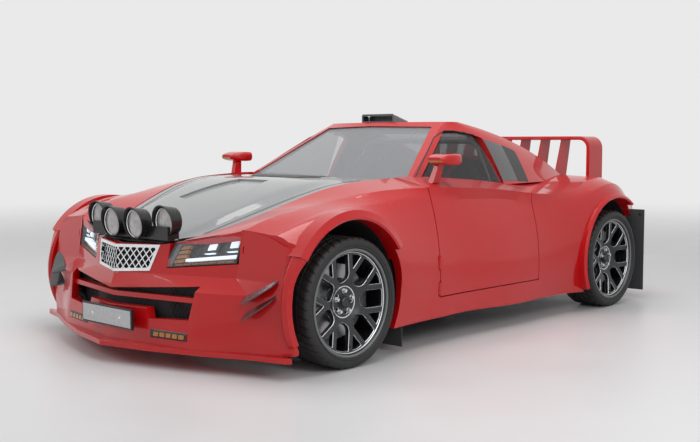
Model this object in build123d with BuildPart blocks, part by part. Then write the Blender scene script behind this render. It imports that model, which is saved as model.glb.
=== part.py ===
"""Two-seat rally coupe with wide wheel arches, a lamp bar, a hoop wing and a caged cabin.

Millimetres. +Z is up, the nose points along -Y and +X is the car's left.
The origin is on the ground, midway between the nose and the tail, on the centre plane.
Stations along the car are measured rearwards from the front axle.
"""

import os
from collections import namedtuple
from math import cos, radians, sin

from build123d import *

os.makedirs("parts", exist_ok=True)

# Overall layout
wheelbase = 2590
nose_overhang = 748
tail_overhang = 609
tail_y = wheelbase + tail_overhang
front_axle_y = (nose_overhang - tail_y) / 2
panel_gap = 6
seat_gap = 0.3

# Wheels and tyres
tyre_radius = 325
tyre_width = 245
wheel_plane_x = 948
rim_radius = 273
rim_width = 225
spoke_count = 7
lug_count = 5
lug_circle = 112
arch_radius = 392
arch_centre_z = 345
wheel_axis_z = tyre_radius

# Steering and doors
kingpin_x = 855
door_front_y = 752
door_rear_y = 1735
hinge_x = 1013
hinge_zs = (312, 452)
hinge_half = 20
pin_radius = 5
barrel_radius = 9
door_sill_z = 262
side_wall = 62
side_lid = 22


def across(y):
    """Plane square to the car's length, y behind the front axle: sketch in (x, z)."""
    return Plane.XZ.offset(-(front_axle_y + y))


def level(z):
    """Horizontal plane at height z: sketch in (x, y from the front axle)."""
    return Plane((0, front_axle_y, z))


def beside(x):
    """Plane along the car at distance x to the left: sketch in (y from the front axle, z)."""
    return Plane((x, front_axle_y, 0), x_dir=(0, 1, 0), z_dir=(1, 0, 0))


def write(part, name):
    part.label = name
    export_step(part, f"parts/{name}.step")


def write_pair(part, name):
    """The left piece as modelled, and its mirror image on the right."""
    write(part, f"{name}_left")
    write(mirror(part, about=Plane.YZ), f"{name}_right")


def both_sides(points):
    """Closed outline of a symmetric shape from the points of its left half, from top or front to end."""
    return points + [(-x, y) for x, y in reversed(points) if x > 0]


# Body side: sections from the belt line down to the sill
Station = namedtuple("Station", "y belt shoulder tuck belly crease sill")
side_stations = [
    Station(-560, (318, 602), (690, 640), (860, 620), (980, 570), (1010, 430), (1015, 150)),
    Station(-395, (415, 650), (713, 684), (870, 662), (995, 610), (1030, 440), (1030, 150)),
    Station(-200, (510, 716), (757, 755), (905, 732), (1026, 690), (1058, 500), (1050, 150)),
    Station(0, (572, 786), (785, 792), (925, 776), (1040, 738), (1064, 560), (1055, 150)),
    Station(250, (630, 862), (845, 834), (940, 792), (1036, 684), (1054, 450), (1045, 150)),
    Station(500, (668, 898), (885, 858), (940, 806), (1012, 640), (1030, 300), (1020, 150)),
    Station(800, (690, 912), (935, 864), (944, 808), (990, 620), (1012, 262), (1005, 150)),
    Station(1250, (712, 900), (955, 842), (945, 782), (990, 600), (1012, 262), (1005, 146)),
    Station(1750, (700, 868), (965, 796), (962, 738), (1004, 560), (1020, 268), (1008, 140)),
    Station(2150, (600, 858), (980, 800), (1012, 740), (1052, 560), (1044, 280), (1022, 136)),
    Station(2590, (540, 882), (915, 872), (1022, 830), (1076, 745), (1086, 500), (1062, 140)),
    Station(2900, (540, 868), (880, 806), (975, 752), (1012, 660), (1000, 450), (960, 240)),
    Station(tail_y - 20, (520, 800), (815, 735), (880, 690), (900, 600), (885, 450), (850, 300)),
]


def side_section(s):
    """Outer skin from belt to sill, then back up the inner wall."""
    belt, shoulder, tuck, belly, crease, sill = s[1:]
    Line(belt, shoulder)
    Line(shoulder, tuck)
    ThreePointArc(tuck, belly, crease)
    Line(crease, sill)
    Polyline(
        sill,
        (sill[0] - side_wall, sill[1]),
        (crease[0] - side_wall, crease[1]),
        (belly[0] - side_wall, belly[1] - side_lid),
        (tuck[0] - side_wall, tuck[1] - 2 * side_lid),
        (shoulder[0] - side_wall, shoulder[1] - 2 * side_lid),
        (belt[0], belt[1] - side_lid),
        belt,
    )


# Nose plan outline above the headlamps, from the centre plane to the arch
nose_plan = [(0, -640), (341, -521), (713, -387), (980, -352), (1032, -312)]
liner_wall = 10
liner_x = (606, 984)
cut_length = 1500

with BuildPart() as nose_front:
    with BuildSketch(level(0)):
        with BuildLine():
            Polyline(both_sides(nose_plan + [(1300, -312), (1300, -900)]), close=True)
        make_face()
    extrude(amount=cut_length)

with BuildPart() as arch_space:
    for axle_y in (0, wheelbase):
        with BuildSketch(Plane((0, front_axle_y + axle_y, arch_centre_z), x_dir=(0, 1, 0), z_dir=(1, 0, 0))):
            Circle(arch_radius)
        extrude(amount=1300, both=True)
    for axle_y in (0, wheelbase):
        for side in (-1, 1):
            with BuildSketch(beside(side * (liner_x[0] - liner_wall))):
                with Locations((axle_y, arch_centre_z)):
                    Circle(arch_radius + liner_wall)
                with Locations((axle_y, arch_centre_z / 2)):
                    Rectangle(2 * (arch_radius + liner_wall), arch_centre_z)
            extrude(amount=side * (liner_x[1] - liner_x[0] + liner_wall))

# Cabin: plan outlines from the belt up to the roof
Tier = namedtuple("Tier", "z front_x front_y bow side_x rear_x rear_y")
cabin_tiers = [
    Tier(845, 727, 803, 78, 776, 600, 2735),
    Tier(1000, 630, 1061, 85, 692, 585, 2422),
    Tier(1145, 540, 1305, 92, 596, 560, 1985),
    Tier(1238, 470, 1462, 100, 512, 500, 1590),
]


def cabin_block(inset):
    """The cabin filled solid, drawn in by an inset on every side."""
    with BuildPart() as block:
        for tier in cabin_tiers:
            front_x = tier.front_x - inset
            front_y = tier.front_y + 1.4 * inset
            rear_x = tier.rear_x - inset
            rear_y = tier.rear_y - 1.6 * inset
            drop = inset * (tier.z - cabin_tiers[0].z) / (cabin_tiers[-1].z - cabin_tiers[0].z)
            with BuildSketch(level(tier.z - drop)):
                with BuildLine():
                    ThreePointArc((-front_x, front_y), (0, front_y - tier.bow), (front_x, front_y))
                    ThreePointArc(
                        (front_x, front_y), (tier.side_x - inset, (front_y + rear_y) / 2), (rear_x, rear_y)
                    )
                    Line((rear_x, rear_y), (-rear_x, rear_y))
                    ThreePointArc(
                        (-rear_x, rear_y), (inset - tier.side_x, (front_y + rear_y) / 2), (-front_x, front_y)
                    )
                make_face()
        loft()
    return block.part


cabin_wall = 34
window_rear_y = door_rear_y - 28
glass_depth = 5
glass_wall = 6
screen_edge = [(0, 1214), (446, 1206), (694, 852), (0, 852)]
side_window = [(872, 840), (1402, 1180), (1560, 1176), (window_rear_y, 1136), (window_rear_y, 840)]
rear_window = [(0, 1730), (392, 1730), (440, 2390), (0, 2390)]


def prism(plane, outline, amount, shrink=0, both=False):
    """A closed outline on a plane, drawn in by a margin and extruded."""
    with BuildPart() as body:
        with BuildSketch(plane):
            with BuildLine():
                Polyline(outline, close=True)
            make_face()
            if shrink:
                offset(amount=-shrink, kind=Kind.INTERSECTION, mode=Mode.REPLACE)
        extrude(amount=amount, both=both)
    return body.part


cabin_outer = cabin_block(0)
cabin_inner = cabin_block(cabin_wall)
glass_layer = cabin_block(glass_depth) - cabin_block(glass_depth + glass_wall)

with BuildPart() as side_skin:
    for station in side_stations:
        with BuildSketch(across(station.y)):
            with BuildLine():
                side_section(station)
            make_face()
    loft()
    add(nose_front.part, mode=Mode.SUBTRACT)


def box(x, y, z):
    """A block between two limits on each axis, y from the front axle."""
    with BuildPart() as block:
        with BuildSketch(level(z[0])):
            with Locations(((x[0] + x[1]) / 2, (y[0] + y[1]) / 2)):
                Rectangle(x[1] - x[0], y[1] - y[0])
        extrude(amount=z[1] - z[0])
    return block.part


def door_sweep(radius):
    """Upright drum about the left door hinge."""
    with BuildPart() as drum:
        with BuildSketch(level(0)):
            with Locations((hinge_x, door_front_y)):
                Circle(radius)
        extrude(amount=1400)
    return drum.part


def hinge_drum(radius, low, high):
    """A short upright cylinder on the left door's hinge line."""
    with BuildPart() as drum:
        with BuildSketch(level(low)):
            with Locations((hinge_x, door_front_y)):
                Circle(radius)
        extrude(amount=high - low)
    return drum.part


def hinge_leaf(low, high, reach):
    """A barrel on the hinge line with a leaf reaching back or forward to its panel."""
    leaf = box(
        (hinge_x - barrel_radius, hinge_x), sorted((door_front_y, door_front_y + reach)), (low, high)
    )
    return hinge_drum(barrel_radius, low, high) + leaf


# Tub: floor, bulkheads, wheel houses, rails and the arms that hold the front wheels
rail_x = (380, 470)
firewall_y = 690
rear_axle_radius = 40
bulkhead_y = 2105
floor_z = (138, 168)
jack_pad_z = 126
jack_pad_half = 70
rear_floor_z = (400, 426)
arm_z = (228, 254)
upper_arm_z = (404, 430)

with BuildPart() as tub:
    add(box((-955, 955), (448, bulkhead_y), floor_z))
    add(box((-jack_pad_half, jack_pad_half), (1200 - jack_pad_half, 1200 + jack_pad_half), (jack_pad_z, floor_z[0])))
    add(box((-690, 690), (firewall_y, firewall_y + 24), (floor_z[1], 800)))
    add(box((-700, 700), (firewall_y - 10, 830), (800, 824)))
    add(box((-690, 690), (bulkhead_y - 24, bulkhead_y), (floor_z[1], 800)))
    add(box((-640, 640), (bulkhead_y, 3080), rear_floor_z))
    for side in (-1, 1):
        with BuildSketch(beside(0)):
            with BuildLine():
                Polyline(
                    (-430, 300), (-430, 380), (440, 380), (700, 300), (700, 138), (300, 138), (200, 260),
                    close=True,
                )
            make_face()
        extrude(amount=side * rail_x[1])
        with BuildSketch(beside(0)):
            with Locations((140, 260)):
                Rectangle(1300, 600)
        extrude(amount=side * rail_x[0], mode=Mode.SUBTRACT)
    add(box((-955, 955), (448, bulkhead_y), floor_z))
    add(box((-690, 690), (firewall_y, firewall_y + 24), (floor_z[1], 800)))
    for axle_y in (0, wheelbase):
        for side in (-1, 1):
            with BuildSketch(beside(side * liner_x[0])):
                with Locations((axle_y, arch_centre_z)):
                    Circle(arch_radius + liner_wall)
                    Circle(arch_radius, mode=Mode.SUBTRACT)
                with Locations((axle_y, arch_centre_z - 300)):
                    Rectangle(1200, 440, mode=Mode.SUBTRACT)
            extrude(amount=side * (liner_x[1] - liner_x[0]))
            with BuildSketch(beside(side * liner_x[0])):
                with Locations((axle_y, arch_centre_z)):
                    Circle(arch_radius + liner_wall)
                with Locations((axle_y, arch_centre_z - 300)):
                    Rectangle(1200, 440, mode=Mode.SUBTRACT)
            extrude(amount=-side * liner_wall)
    for side in (-1, 1):
        add(box(sorted((side * (rail_x[1] - 4), side * (liner_x[0] + 4))), (-40, 40), (560, 600)))
        add(box(sorted((side * (rail_x[0] + 10), side * rail_x[1])), (-60, 60), (arm_z[0], 600)))
        for low, high in (arm_z, upper_arm_z):
            with BuildSketch(level(low)):
                with BuildLine():
                    Polyline(
                        (side * 400, -120), (side * 400, 120), (side * kingpin_x, 26), (side * kingpin_x, -26),
                        close=True,
                    )
                make_face()
                with Locations((side * kingpin_x, 0)):
                    Circle(30)
            extrude(amount=high - low)
    with BuildSketch(beside(0)):
        with Locations((wheelbase, wheel_axis_z)):
            Circle(rear_axle_radius)
    extrude(amount=700, both=True, mode=Mode.SUBTRACT)

with BuildPart() as engine_block:
    with BuildSketch(level(380)):
        with Locations((0, 365)):
            Rectangle(2 * rail_x[1] - 40, 450)
    extrude(amount=60)
    with BuildSketch(level(200)):
        with Locations((0, 365)):
            Rectangle(2 * rail_x[0] - 60, 450)
    extrude(amount=180)
    with BuildSketch(level(440)):
        with Locations((0, 365)):
            Rectangle(420, 450)
    extrude(amount=220, taper=8)
write(engine_block.part, "engine_block")

# Cabin shell, windows and roof scoop
window_clear = 10
screen_space = prism(across(560), both_sides(screen_edge), -900)
rear_space = prism(level(880), both_sides(rear_window), 500)
side_space = prism(beside(0), side_window, 900, both=True)
door_window = prism(beside(0), side_window, 900, shrink=window_clear)

scoop_x = 138
scoop_y = (1385, 1580)
scoop_z = (cabin_tiers[-1].z, 1293)
with BuildPart() as cabin_shell:
    add(cabin_outer)
    add(cabin_inner, mode=Mode.SUBTRACT)
    for opening in (screen_space, rear_space, side_space):
        add(opening, mode=Mode.SUBTRACT)
    add(box((-800, 800), (700, 2800), (840, 847)), mode=Mode.SUBTRACT)
write(cabin_shell.part, "cabin_shell")

with BuildPart() as roof_scoop:
    for y, half_x, top in ((scoop_y[0], scoop_x, scoop_z[1]), (scoop_y[1], scoop_x - 40, scoop_z[0] + 14)):
        with BuildSketch(across(y)):
            with BuildLine():
                Polyline(
                    (-half_x, scoop_z[0]),
                    (-half_x, top - 8),
                    (8 - half_x, top),
                    (half_x - 8, top),
                    (half_x, top - 8),
                    (half_x, scoop_z[0]),
                    close=True,
                )
            make_face()
    loft(ruled=True)
    scoop_mouth_z = (scoop_z[0] + 9, scoop_z[1] - 14)
    add(box((12 - scoop_x, scoop_x - 12), (scoop_y[0] - 10, scoop_y[0] + 60), scoop_mouth_z), mode=Mode.SUBTRACT)
write(roof_scoop.part, "roof_scoop")

with BuildPart() as windscreen:
    add(glass_layer)
    add(screen_space, mode=Mode.INTERSECT)
write(windscreen.part, "windscreen")

with BuildPart() as rear_window_pane:
    add(glass_layer)
    add(rear_space, mode=Mode.INTERSECT)
write(rear_window_pane.part, "rear_window")

# Doors swing about an upright hinge just outside their front edge
door_sweep_radius = door_rear_y - door_front_y
glass_face = cabin_block(glass_depth)
pillar_foot = box((600, 792), (1694, 1800), (838, 1000))
pillar_clear = cabin_block(-panel_gap - 2) - prism(beside(0), side_window, 900, shrink=window_clear - 3)

with BuildPart() as door_glass:
    add(glass_layer)
    add(door_window, mode=Mode.INTERSECT)
    add(door_sweep(door_sweep_radius - window_clear), mode=Mode.INTERSECT)
write_pair(door_glass.part, "door_glass")

MirrorSection = namedtuple("MirrorSection", "y x z half_width half_height")
mirror_sections = [
    MirrorSection(850, 892, 1012, 44, 14),
    MirrorSection(905, 890, 1013, 74, 27),
    MirrorSection(1010, 888, 1013, 78, 30),
]
with BuildPart() as door_mirror:
    for m in mirror_sections:
        with BuildSketch(across(m.y)):
            with Locations((m.x, m.z)):
                RectangleRounded(2 * m.half_width, 2 * m.half_height, 0.8 * m.half_height)
    loft()
    with BuildSketch(level(880)):
        with Locations((852, 900)):
            Rectangle(36, 62)
    with BuildSketch(level(1000)):
        with Locations((872, 930)):
            Rectangle(30, 46)
    loft()

with BuildPart() as door:
    add(side_skin.part)
    door_span_y = (door_front_y + panel_gap, door_rear_y + 60)
    add(box((500, 1300), door_span_y, (door_sill_z + panel_gap, 1000)), mode=Mode.INTERSECT)
    add(door_sweep(door_sweep_radius), mode=Mode.INTERSECT)
    add(glass_face, mode=Mode.SUBTRACT)
    add(pillar_clear, mode=Mode.SUBTRACT)
    add(pillar_foot, mode=Mode.SUBTRACT)
    add(door_mirror.part)
    for z in hinge_zs:
        add(hinge_drum(barrel_radius + 5, z - 2 * hinge_half, z + 2 * hinge_half), mode=Mode.SUBTRACT)
        add(hinge_leaf(z - hinge_half, z + hinge_half, 32))
        add(hinge_drum(pin_radius + seat_gap, z - hinge_half, z + hinge_half), mode=Mode.SUBTRACT)
write_pair(door.part, "door")

# Wings of the body round the wheels, with the bands that edge the arches
ArchBand = namedtuple("ArchBand", "axle_y depth outer_x from_deg to_deg")
front_band = ArchBand(0, 46, 1090, 34, 147)
rear_band = ArchBand(wheelbase, 26, 1100, 58, 207)


def arch_band(band):
    """A lip round a wheel arch, between two angles up from the rear."""
    axle = (0, front_axle_y + band.axle_y, arch_centre_z)
    start = Plane(axle, x_dir=(1, 0, 0), z_dir=(0, -1, 0)).rotated((band.from_deg - 90, 0, 0))
    with BuildPart() as lip:
        with BuildSketch(start):
            with BuildLine():
                Polyline(
                    (990, arch_radius),
                    (band.outer_x - 6, arch_radius),
                    (band.outer_x, arch_radius + 10),
                    (band.outer_x - 14, arch_radius + band.depth),
                    (990, arch_radius + band.depth),
                    close=True,
                )
            make_face()
        revolve(axis=Axis(axle, (1, 0, 0)), revolution_arc=band.to_deg - band.from_deg)
    return lip.part


bumper_seam_z = 575
front_flap_y = 442
rear_flap_y = wheelbase + 428
flap_wall = 6
deck_half_x = 530
tail_half_x = 786
tail_front_y = rear_flap_y + flap_wall
wing_half_x = 752
hoop_wall = 26
wing_y = (2800, 2985)
wing_foot_z = 836
floor_slot = box((0, 955), (448, bulkhead_y), floor_z)
flap_slots = [
    box((600, 1006), (300, front_flap_y + flap_wall), (0, 505)),
    box((600, 1300), (wheelbase + 300, rear_flap_y + flap_wall), (0, 640)),
]
with BuildPart() as front_fender:
    add(side_skin.part)
    add(box((200, 1300), (-700, door_front_y), (door_sill_z, 1000)), mode=Mode.INTERSECT)
    add(box((200, 1300), (-700, -200), (0, bumper_seam_z)), mode=Mode.SUBTRACT)
    add(arch_band(front_band))
    for cut in (arch_space.part, cabin_outer, flap_slots[0]):
        add(cut, mode=Mode.SUBTRACT)
    for z in hinge_zs:
        add(hinge_drum(barrel_radius + 5, z - 2 * hinge_half, z + 2 * hinge_half), mode=Mode.SUBTRACT)
        add(hinge_leaf(z - hinge_half - 14, z - hinge_half - seat_gap, -32))
        add(hinge_leaf(z + hinge_half + seat_gap, z + hinge_half + 14, -32))
        add(hinge_drum(pin_radius, z - hinge_half - 14, z + hinge_half + 14))

with BuildPart() as rear_quarter:
    add(side_skin.part)
    add(box((200, 1300), (200, door_rear_y + 900 + tail_overhang + 900), (0, 1000)), mode=Mode.INTERSECT)
    add(box((200, 1300), (-100, door_rear_y), (door_sill_z, 1000)), mode=Mode.SUBTRACT)
    add(
        door_sweep(door_sweep_radius + panel_gap) & box((200, 1300), (0, 2600), (door_sill_z, 1100)),
        mode=Mode.SUBTRACT,
    )
    add(arch_band(rear_band))
    for cut in (arch_space.part, cabin_outer, floor_slot, *flap_slots):
        add(cut, mode=Mode.SUBTRACT)
    add(box((0, deck_half_x), (2690, 3400), (600, 1000)), mode=Mode.SUBTRACT)
    add(box((0, tail_half_x), (tail_front_y, 3400), (0, 780)), mode=Mode.SUBTRACT)
    add(box((wing_half_x - hoop_wall, wing_half_x), wing_y, (wing_foot_z, 1000)), mode=Mode.SUBTRACT)
write_pair(rear_quarter.part, "rear_quarter")

# Headlamp: a swept block between an inner and an outer end face
lamp_inner = [(287, -566, 485), (341, -519, 612)]
lamp_outer = [(681, -415, 523), (713, -384, 682)]
lamp_depth = 90


def lamp_block(grow, forward=0):
    """The headlamp's space, grown all round by a margin and drawn out to the front."""
    low_in, top_in = lamp_inner
    low_out, top_out = lamp_outer
    with BuildPart() as block:
        for (x0, y0, z0), (x1, y1, z1), end in ((low_in, top_in, -grow), (low_out, top_out, grow)):
            middle = (x0 + x1) / 2
            with BuildSketch(beside(middle + end)):
                with BuildLine():
                    Polyline(
                        (y0 - grow - forward, z0 - grow),
                        (y0 + lamp_depth, z0 - grow),
                        (y1 + lamp_depth, z1 + grow),
                        (y1 - grow - forward, z1 + grow),
                        close=True,
                    )
                make_face()
        loft(ruled=True)
    return block.part


with BuildPart() as headlamp:
    add(lamp_block(0))
    add(arch_space.part, mode=Mode.SUBTRACT)
write_pair(headlamp.part, "headlamp")

# Front bumper: plan outlines from the chin to the bonnet edge
Outline = namedtuple("Outline", "z apex_y flank mid end")
bumper_outlines = [
    Outline(110, -694, (560, -590), (800, -470), (980, -405)),
    Outline(250, -684, (560, -578), (800, -462), (984, -410)),
    Outline(385, -674, (565, -556), (800, -450), (986, -408)),
    Outline(455, -650, (287, -574), (690, -427), (986, -392)),
    Outline(690, -632, (352, -500), (714, -388), (980, -352)),
]


def bumper_block(inset):
    """The bumper filled solid back to the arch, drawn in by an inset."""
    with BuildPart() as block:
        for o in bumper_outlines:
            half = [
                (0, o.apex_y + 1.2 * inset),
                (o.flank[0], o.flank[1] + 1.1 * inset),
                (o.mid[0], o.mid[1] + inset),
                (o.end[0] - 0.4 * inset, o.end[1] + inset),
                (o.end[0] + 42 - inset, o.end[1] + 46 + inset),
                (o.end[0] + 42 - inset, -200),
            ]
            with BuildSketch(level(o.z)):
                with BuildLine():
                    Polyline(both_sides(half), close=True)
                make_face()
        loft(ruled=True)
    return block.part


bonnet_front_z = 596
bumper_wall = 40
intake_blade_z = (330, 354)
nose_top = [
    (0, bonnet_front_z), (266, 600), (341, 612), (713, 684), (714, bumper_seam_z), (1300, bumper_seam_z),
    (1300, 1000), (0, 1000),
]
grille_edge = [(0, 592), (262, 598), (222, 468), (0, 452)]
intake_edge = [(0, 372), (545, 412), (520, 250), (262, 236), (244, 290), (0, 290)]
with BuildPart() as front_bumper:
    add(bumper_block(0))
    add(bumper_block(bumper_wall), mode=Mode.SUBTRACT)
    add(prism(across(-800), both_sides(nose_top), -700), mode=Mode.SUBTRACT)
    add(prism(across(-800), both_sides(grille_edge), -300), mode=Mode.SUBTRACT)
    add(prism(across(-800), both_sides(intake_edge), -300), mode=Mode.SUBTRACT)
    add((bumper_block(16) - bumper_block(bumper_wall + 12)) & box((-548, 548), (-800, -400), intake_blade_z))
    add(box((-1300, 1300), (-330, 0), (0, 1000)), mode=Mode.SUBTRACT)
    add(arch_space.part, mode=Mode.SUBTRACT)
    for solid in (lamp_block(0, forward=120), mirror(lamp_block(0, forward=120), about=Plane.YZ)):
        add(solid, mode=Mode.SUBTRACT)
write(front_bumper.part, "front_bumper")

fender_brow = [(700, 690), (870, 662), (1000, 612), (1040, 575), (1300, 575), (1300, 900), (700, 900)]
with BuildPart() as fender_cap:
    add(bumper_block(0))
    add(bumper_block(bumper_wall), mode=Mode.SUBTRACT)
    add(box((700, 1300), (-700, -330), (bumper_seam_z, 690)), mode=Mode.INTERSECT)
    add(prism(across(-800), fender_brow, -700), mode=Mode.SUBTRACT)
with BuildPart() as fender_trimmed:
    add(front_fender.part)
    add(fender_cap.part)
    add(lamp_block(0), mode=Mode.SUBTRACT)
    add(box((200, 720), (-700, -300), (500, 610)), mode=Mode.SUBTRACT)
    add(front_bumper.part, mode=Mode.SUBTRACT)
with BuildPart() as fender_whole:
    add(fender_trimmed.part.solids().sort_by(SortBy.VOLUME)[-1])
write_pair(fender_whole.part, "front_fender")

# Splitter under the chin
splitter_plan = [
    (0, -nose_overhang), (300, -682), (600, -580), (860, -470), (1030, -425), (1050, -400), (0, -400),
]
with BuildPart() as front_splitter:
    add(prism(level(84), both_sides(splitter_plan), 26))
    add(arch_space.part, mode=Mode.SUBTRACT)
write(front_splitter.part, "front_splitter")

# Grille: a bright surround in a shallow V with a crossed mesh behind it
surround_width = 15
bar_width = 7
bar_pitch = 38
bar_count = 9
with BuildPart() as grille_bars:
    for index in range(-bar_count, bar_count + 1):
        middle = index * bar_pitch
        for lean in (-1, 1):
            foot, head = middle - lean * 70, middle + lean * 70
            outline = [(foot, 440), (foot + bar_width, 440), (head + bar_width, 610), (head, 610)]
            add(prism(across(-720), outline, -200))
    add(prism(across(-800), both_sides(grille_edge), -300, shrink=surround_width - 2), mode=Mode.INTERSECT)
with BuildPart() as grille:
    add(prism(across(-800), both_sides(grille_edge), -300))
    add(prism(across(-800), both_sides(grille_edge), -300, shrink=surround_width), mode=Mode.SUBTRACT)
    add(bumper_block(-5), mode=Mode.INTERSECT)
    add(bumper_block(34), mode=Mode.SUBTRACT)
    add(grille_bars.part & (bumper_block(8) - bumper_block(18)))
write(grille.part, "grille")

# Two upswept fins at each bumper corner, joined by a thin root plate
Canard = namedtuple("Canard", "inner_x inner_z outer_x outer_z")
canards = [Canard(780, 362, 950, 458), Canard(786, 284, 950, 384)]
canard_wall = 7
canard_reach = 52
with BuildPart() as canard:
    for c in canards:
        outline = [
            (c.inner_x, c.inner_z),
            (c.outer_x, c.outer_z),
            (c.outer_x, c.outer_z + canard_wall),
            (c.inner_x, c.inner_z + canard_wall),
        ]
        add(prism(across(-640), outline, -240))
    add(bumper_block(-canard_reach), mode=Mode.INTERSECT)
    add(prism(across(-640), [(856, 300), (872, 300), (872, 430), (856, 430)], -240) & bumper_block(-6))
    add(bumper_block(0), mode=Mode.SUBTRACT)
    add(box((700, 1300), (-400, 0), (0, 900)), mode=Mode.SUBTRACT)
write_pair(canard.part, "canard")

# Bonnet: a raised centre between two gutters, hinged at the cowl
BonnetStation = namedtuple("BonnetStation", "y edge_x edge_z rise")
bonnet_stations = [
    BonnetStation(-660, 262, 578, 8),
    BonnetStation(-395, 408, 648, 20),
    BonnetStation(-200, 503, 714, 36),
    BonnetStation(0, 565, 784, 38),
    BonnetStation(250, 623, 860, 28),
    BonnetStation(500, 661, 896, 12),
    BonnetStation(660, 674, 902, 6),
]
bonnet_wall = 20


def bonnet_block(wall):
    """The bonnet's skin, or the space from its top face down by a depth."""
    with BuildPart() as block:
        for b in bonnet_stations:
            edge = (b.edge_x, b.edge_z)
            gutter = (b.edge_x - 0.14 * b.edge_x, b.edge_z + 2)
            crown = (0.7 * b.edge_x, b.edge_z + 0.75 * b.rise)
            with BuildSketch(across(b.y)):
                with BuildLine():
                    Line(edge, gutter)
                    Line(gutter, crown)
                    ThreePointArc(crown, (0, b.edge_z + b.rise), (-crown[0], crown[1]))
                    Line((-crown[0], crown[1]), (-gutter[0], gutter[1]))
                    Line((-gutter[0], gutter[1]), (-edge[0], edge[1]))
                    Polyline((-edge[0], edge[1]), (-edge[0], edge[1] - wall), (edge[0], edge[1] - wall), edge)
                make_face()
        loft()
    return block.part


bonnet_hinge_y = 668
bonnet_hinge_z = 880
bonnet_hinge_x = 520
bonnet_pin = 6


def bonnet_bar(radius, low, high):
    """A bar along the bonnet's hinge line on the left."""
    with BuildPart() as bar:
        with BuildSketch(beside(low)):
            with Locations((bonnet_hinge_y, bonnet_hinge_z)):
                Circle(radius)
        extrude(amount=high - low)
    return bar.part


with BuildPart() as bonnet_bracket:
    for x in (bonnet_hinge_x - 32, bonnet_hinge_x + 20.3):
        add(box((x, x + 11.7), (bonnet_hinge_y - 5, bonnet_hinge_y + 24), (824, bonnet_hinge_z + 8)))
    add(bonnet_bar(bonnet_pin, bonnet_hinge_x - 32, bonnet_hinge_x + 32))
with BuildPart() as bonnet_eye:
    add(bonnet_bar(12, bonnet_hinge_x - 20, bonnet_hinge_x + 20))
    add(box((bonnet_hinge_x - 20, bonnet_hinge_x + 20), (600, bonnet_hinge_y), (872, 886)))
    add(bonnet_bar(bonnet_pin + seat_gap, bonnet_hinge_x - 40, bonnet_hinge_x + 40), mode=Mode.SUBTRACT)
bonnet_notch = box((bonnet_hinge_x - 42, bonnet_hinge_x + 42), (636, 700), (840, 940))

with BuildPart() as tub_whole:
    add(tub.part)
    add(bonnet_bracket.part)
    add(mirror(bonnet_bracket.part, about=Plane.YZ))
write(tub_whole.part, "floor_tub")

bonnet_low = [(0, bonnet_front_z + 6), (266, 606), (341, 626), (713, 698), (713, 300), (0, 300)]
recess_plan = [(0, -96), (125, -84), (240, -52), (133, 300), (0, 300)]
recess_depth = 14
with BuildPart() as bonnet_recess:
    add(prism(level(600), both_sides(recess_plan), 500))
    add(Pos(0, 0, -recess_depth) * bonnet_block(400), mode=Mode.SUBTRACT)
with BuildPart() as bonnet:
    add(bonnet_block(bonnet_wall))
    add(bonnet_recess.part, mode=Mode.SUBTRACT)
    add(nose_front.part, mode=Mode.SUBTRACT)
    add(prism(across(-800), both_sides(bonnet_low), -500), mode=Mode.SUBTRACT)
    for solid in (lamp_block(2 * panel_gap), bonnet_notch):
        add(solid, mode=Mode.SUBTRACT)
        add(mirror(solid, about=Plane.YZ), mode=Mode.SUBTRACT)
    add(bonnet_eye.part)
    add(mirror(bonnet_eye.part, about=Plane.YZ))
write(bonnet.part, "bonnet")

# Four lamps on a bar across the bonnet's front edge
LampPod = namedtuple("LampPod", "x y z")
lamp_pods = [LampPod(288, -561, 715), LampPod(100, -606, 700)]
pod_radius = 84
pod_length = 84
pod_recess = 40
hood_lead = 26
with BuildPart() as lamp_bar:
    for pod in lamp_pods:
        for side in (-1, 1):
            with BuildSketch(across(pod.y - 14)):
                with Locations((side * pod.x, pod.z)):
                    Circle(pod_radius)
            extrude(amount=-pod_length, taper=9)
    for pod in lamp_pods:
        hood = [
            (pod.y - 60, pod.z + pod_radius),
            (pod.y - 14, pod.z + pod_radius),
            (pod.y - 14 + hood_lead, pod.z - pod_radius),
            (pod.y - 60, pod.z - pod_radius),
        ]
        for side in (-1, 1):
            with BuildSketch(across(pod.y - 14)):
                with Locations((side * pod.x, pod.z)):
                    Circle(pod_radius - 7)
            extrude(amount=-pod_recess, mode=Mode.SUBTRACT)
            add(prism(beside(side * pod.x), hood, pod_radius + 4, both=True), mode=Mode.SUBTRACT)
    add(box((-330, 330), (-560, -490), (590, 690)))
    add(bonnet_block(260), mode=Mode.SUBTRACT)
    add(box((-400, 400), (-700, -300), (0, 622)), mode=Mode.SUBTRACT)
    for solid in (lamp_block(2 * panel_gap), mirror(lamp_block(2 * panel_gap), about=Plane.YZ)):
        add(solid, mode=Mode.SUBTRACT)
write(lamp_bar.part, "lamp_bar")

# Rear deck, tail and wing
deck_top = [(2736, 857), (2960, 846), (3110, 826), (3168, 838)]
with BuildPart() as rear_deck:
    add(prism(beside(0), deck_top + [(3168, 780), (3120, 780), (2736, 830)], deck_half_x, both=True))
write(rear_deck.part, "rear_deck")

TailOutline = namedtuple("TailOutline", "z half_x edge_y middle_y")
tail_outlines = [
    TailOutline(180, 560, 3096, 3140),
    TailOutline(300, tail_half_x - 60, 3110, 3178),
    TailOutline(560, tail_half_x, 3120, tail_y),
    TailOutline(780, tail_half_x, 3112, 3178),
]


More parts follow.
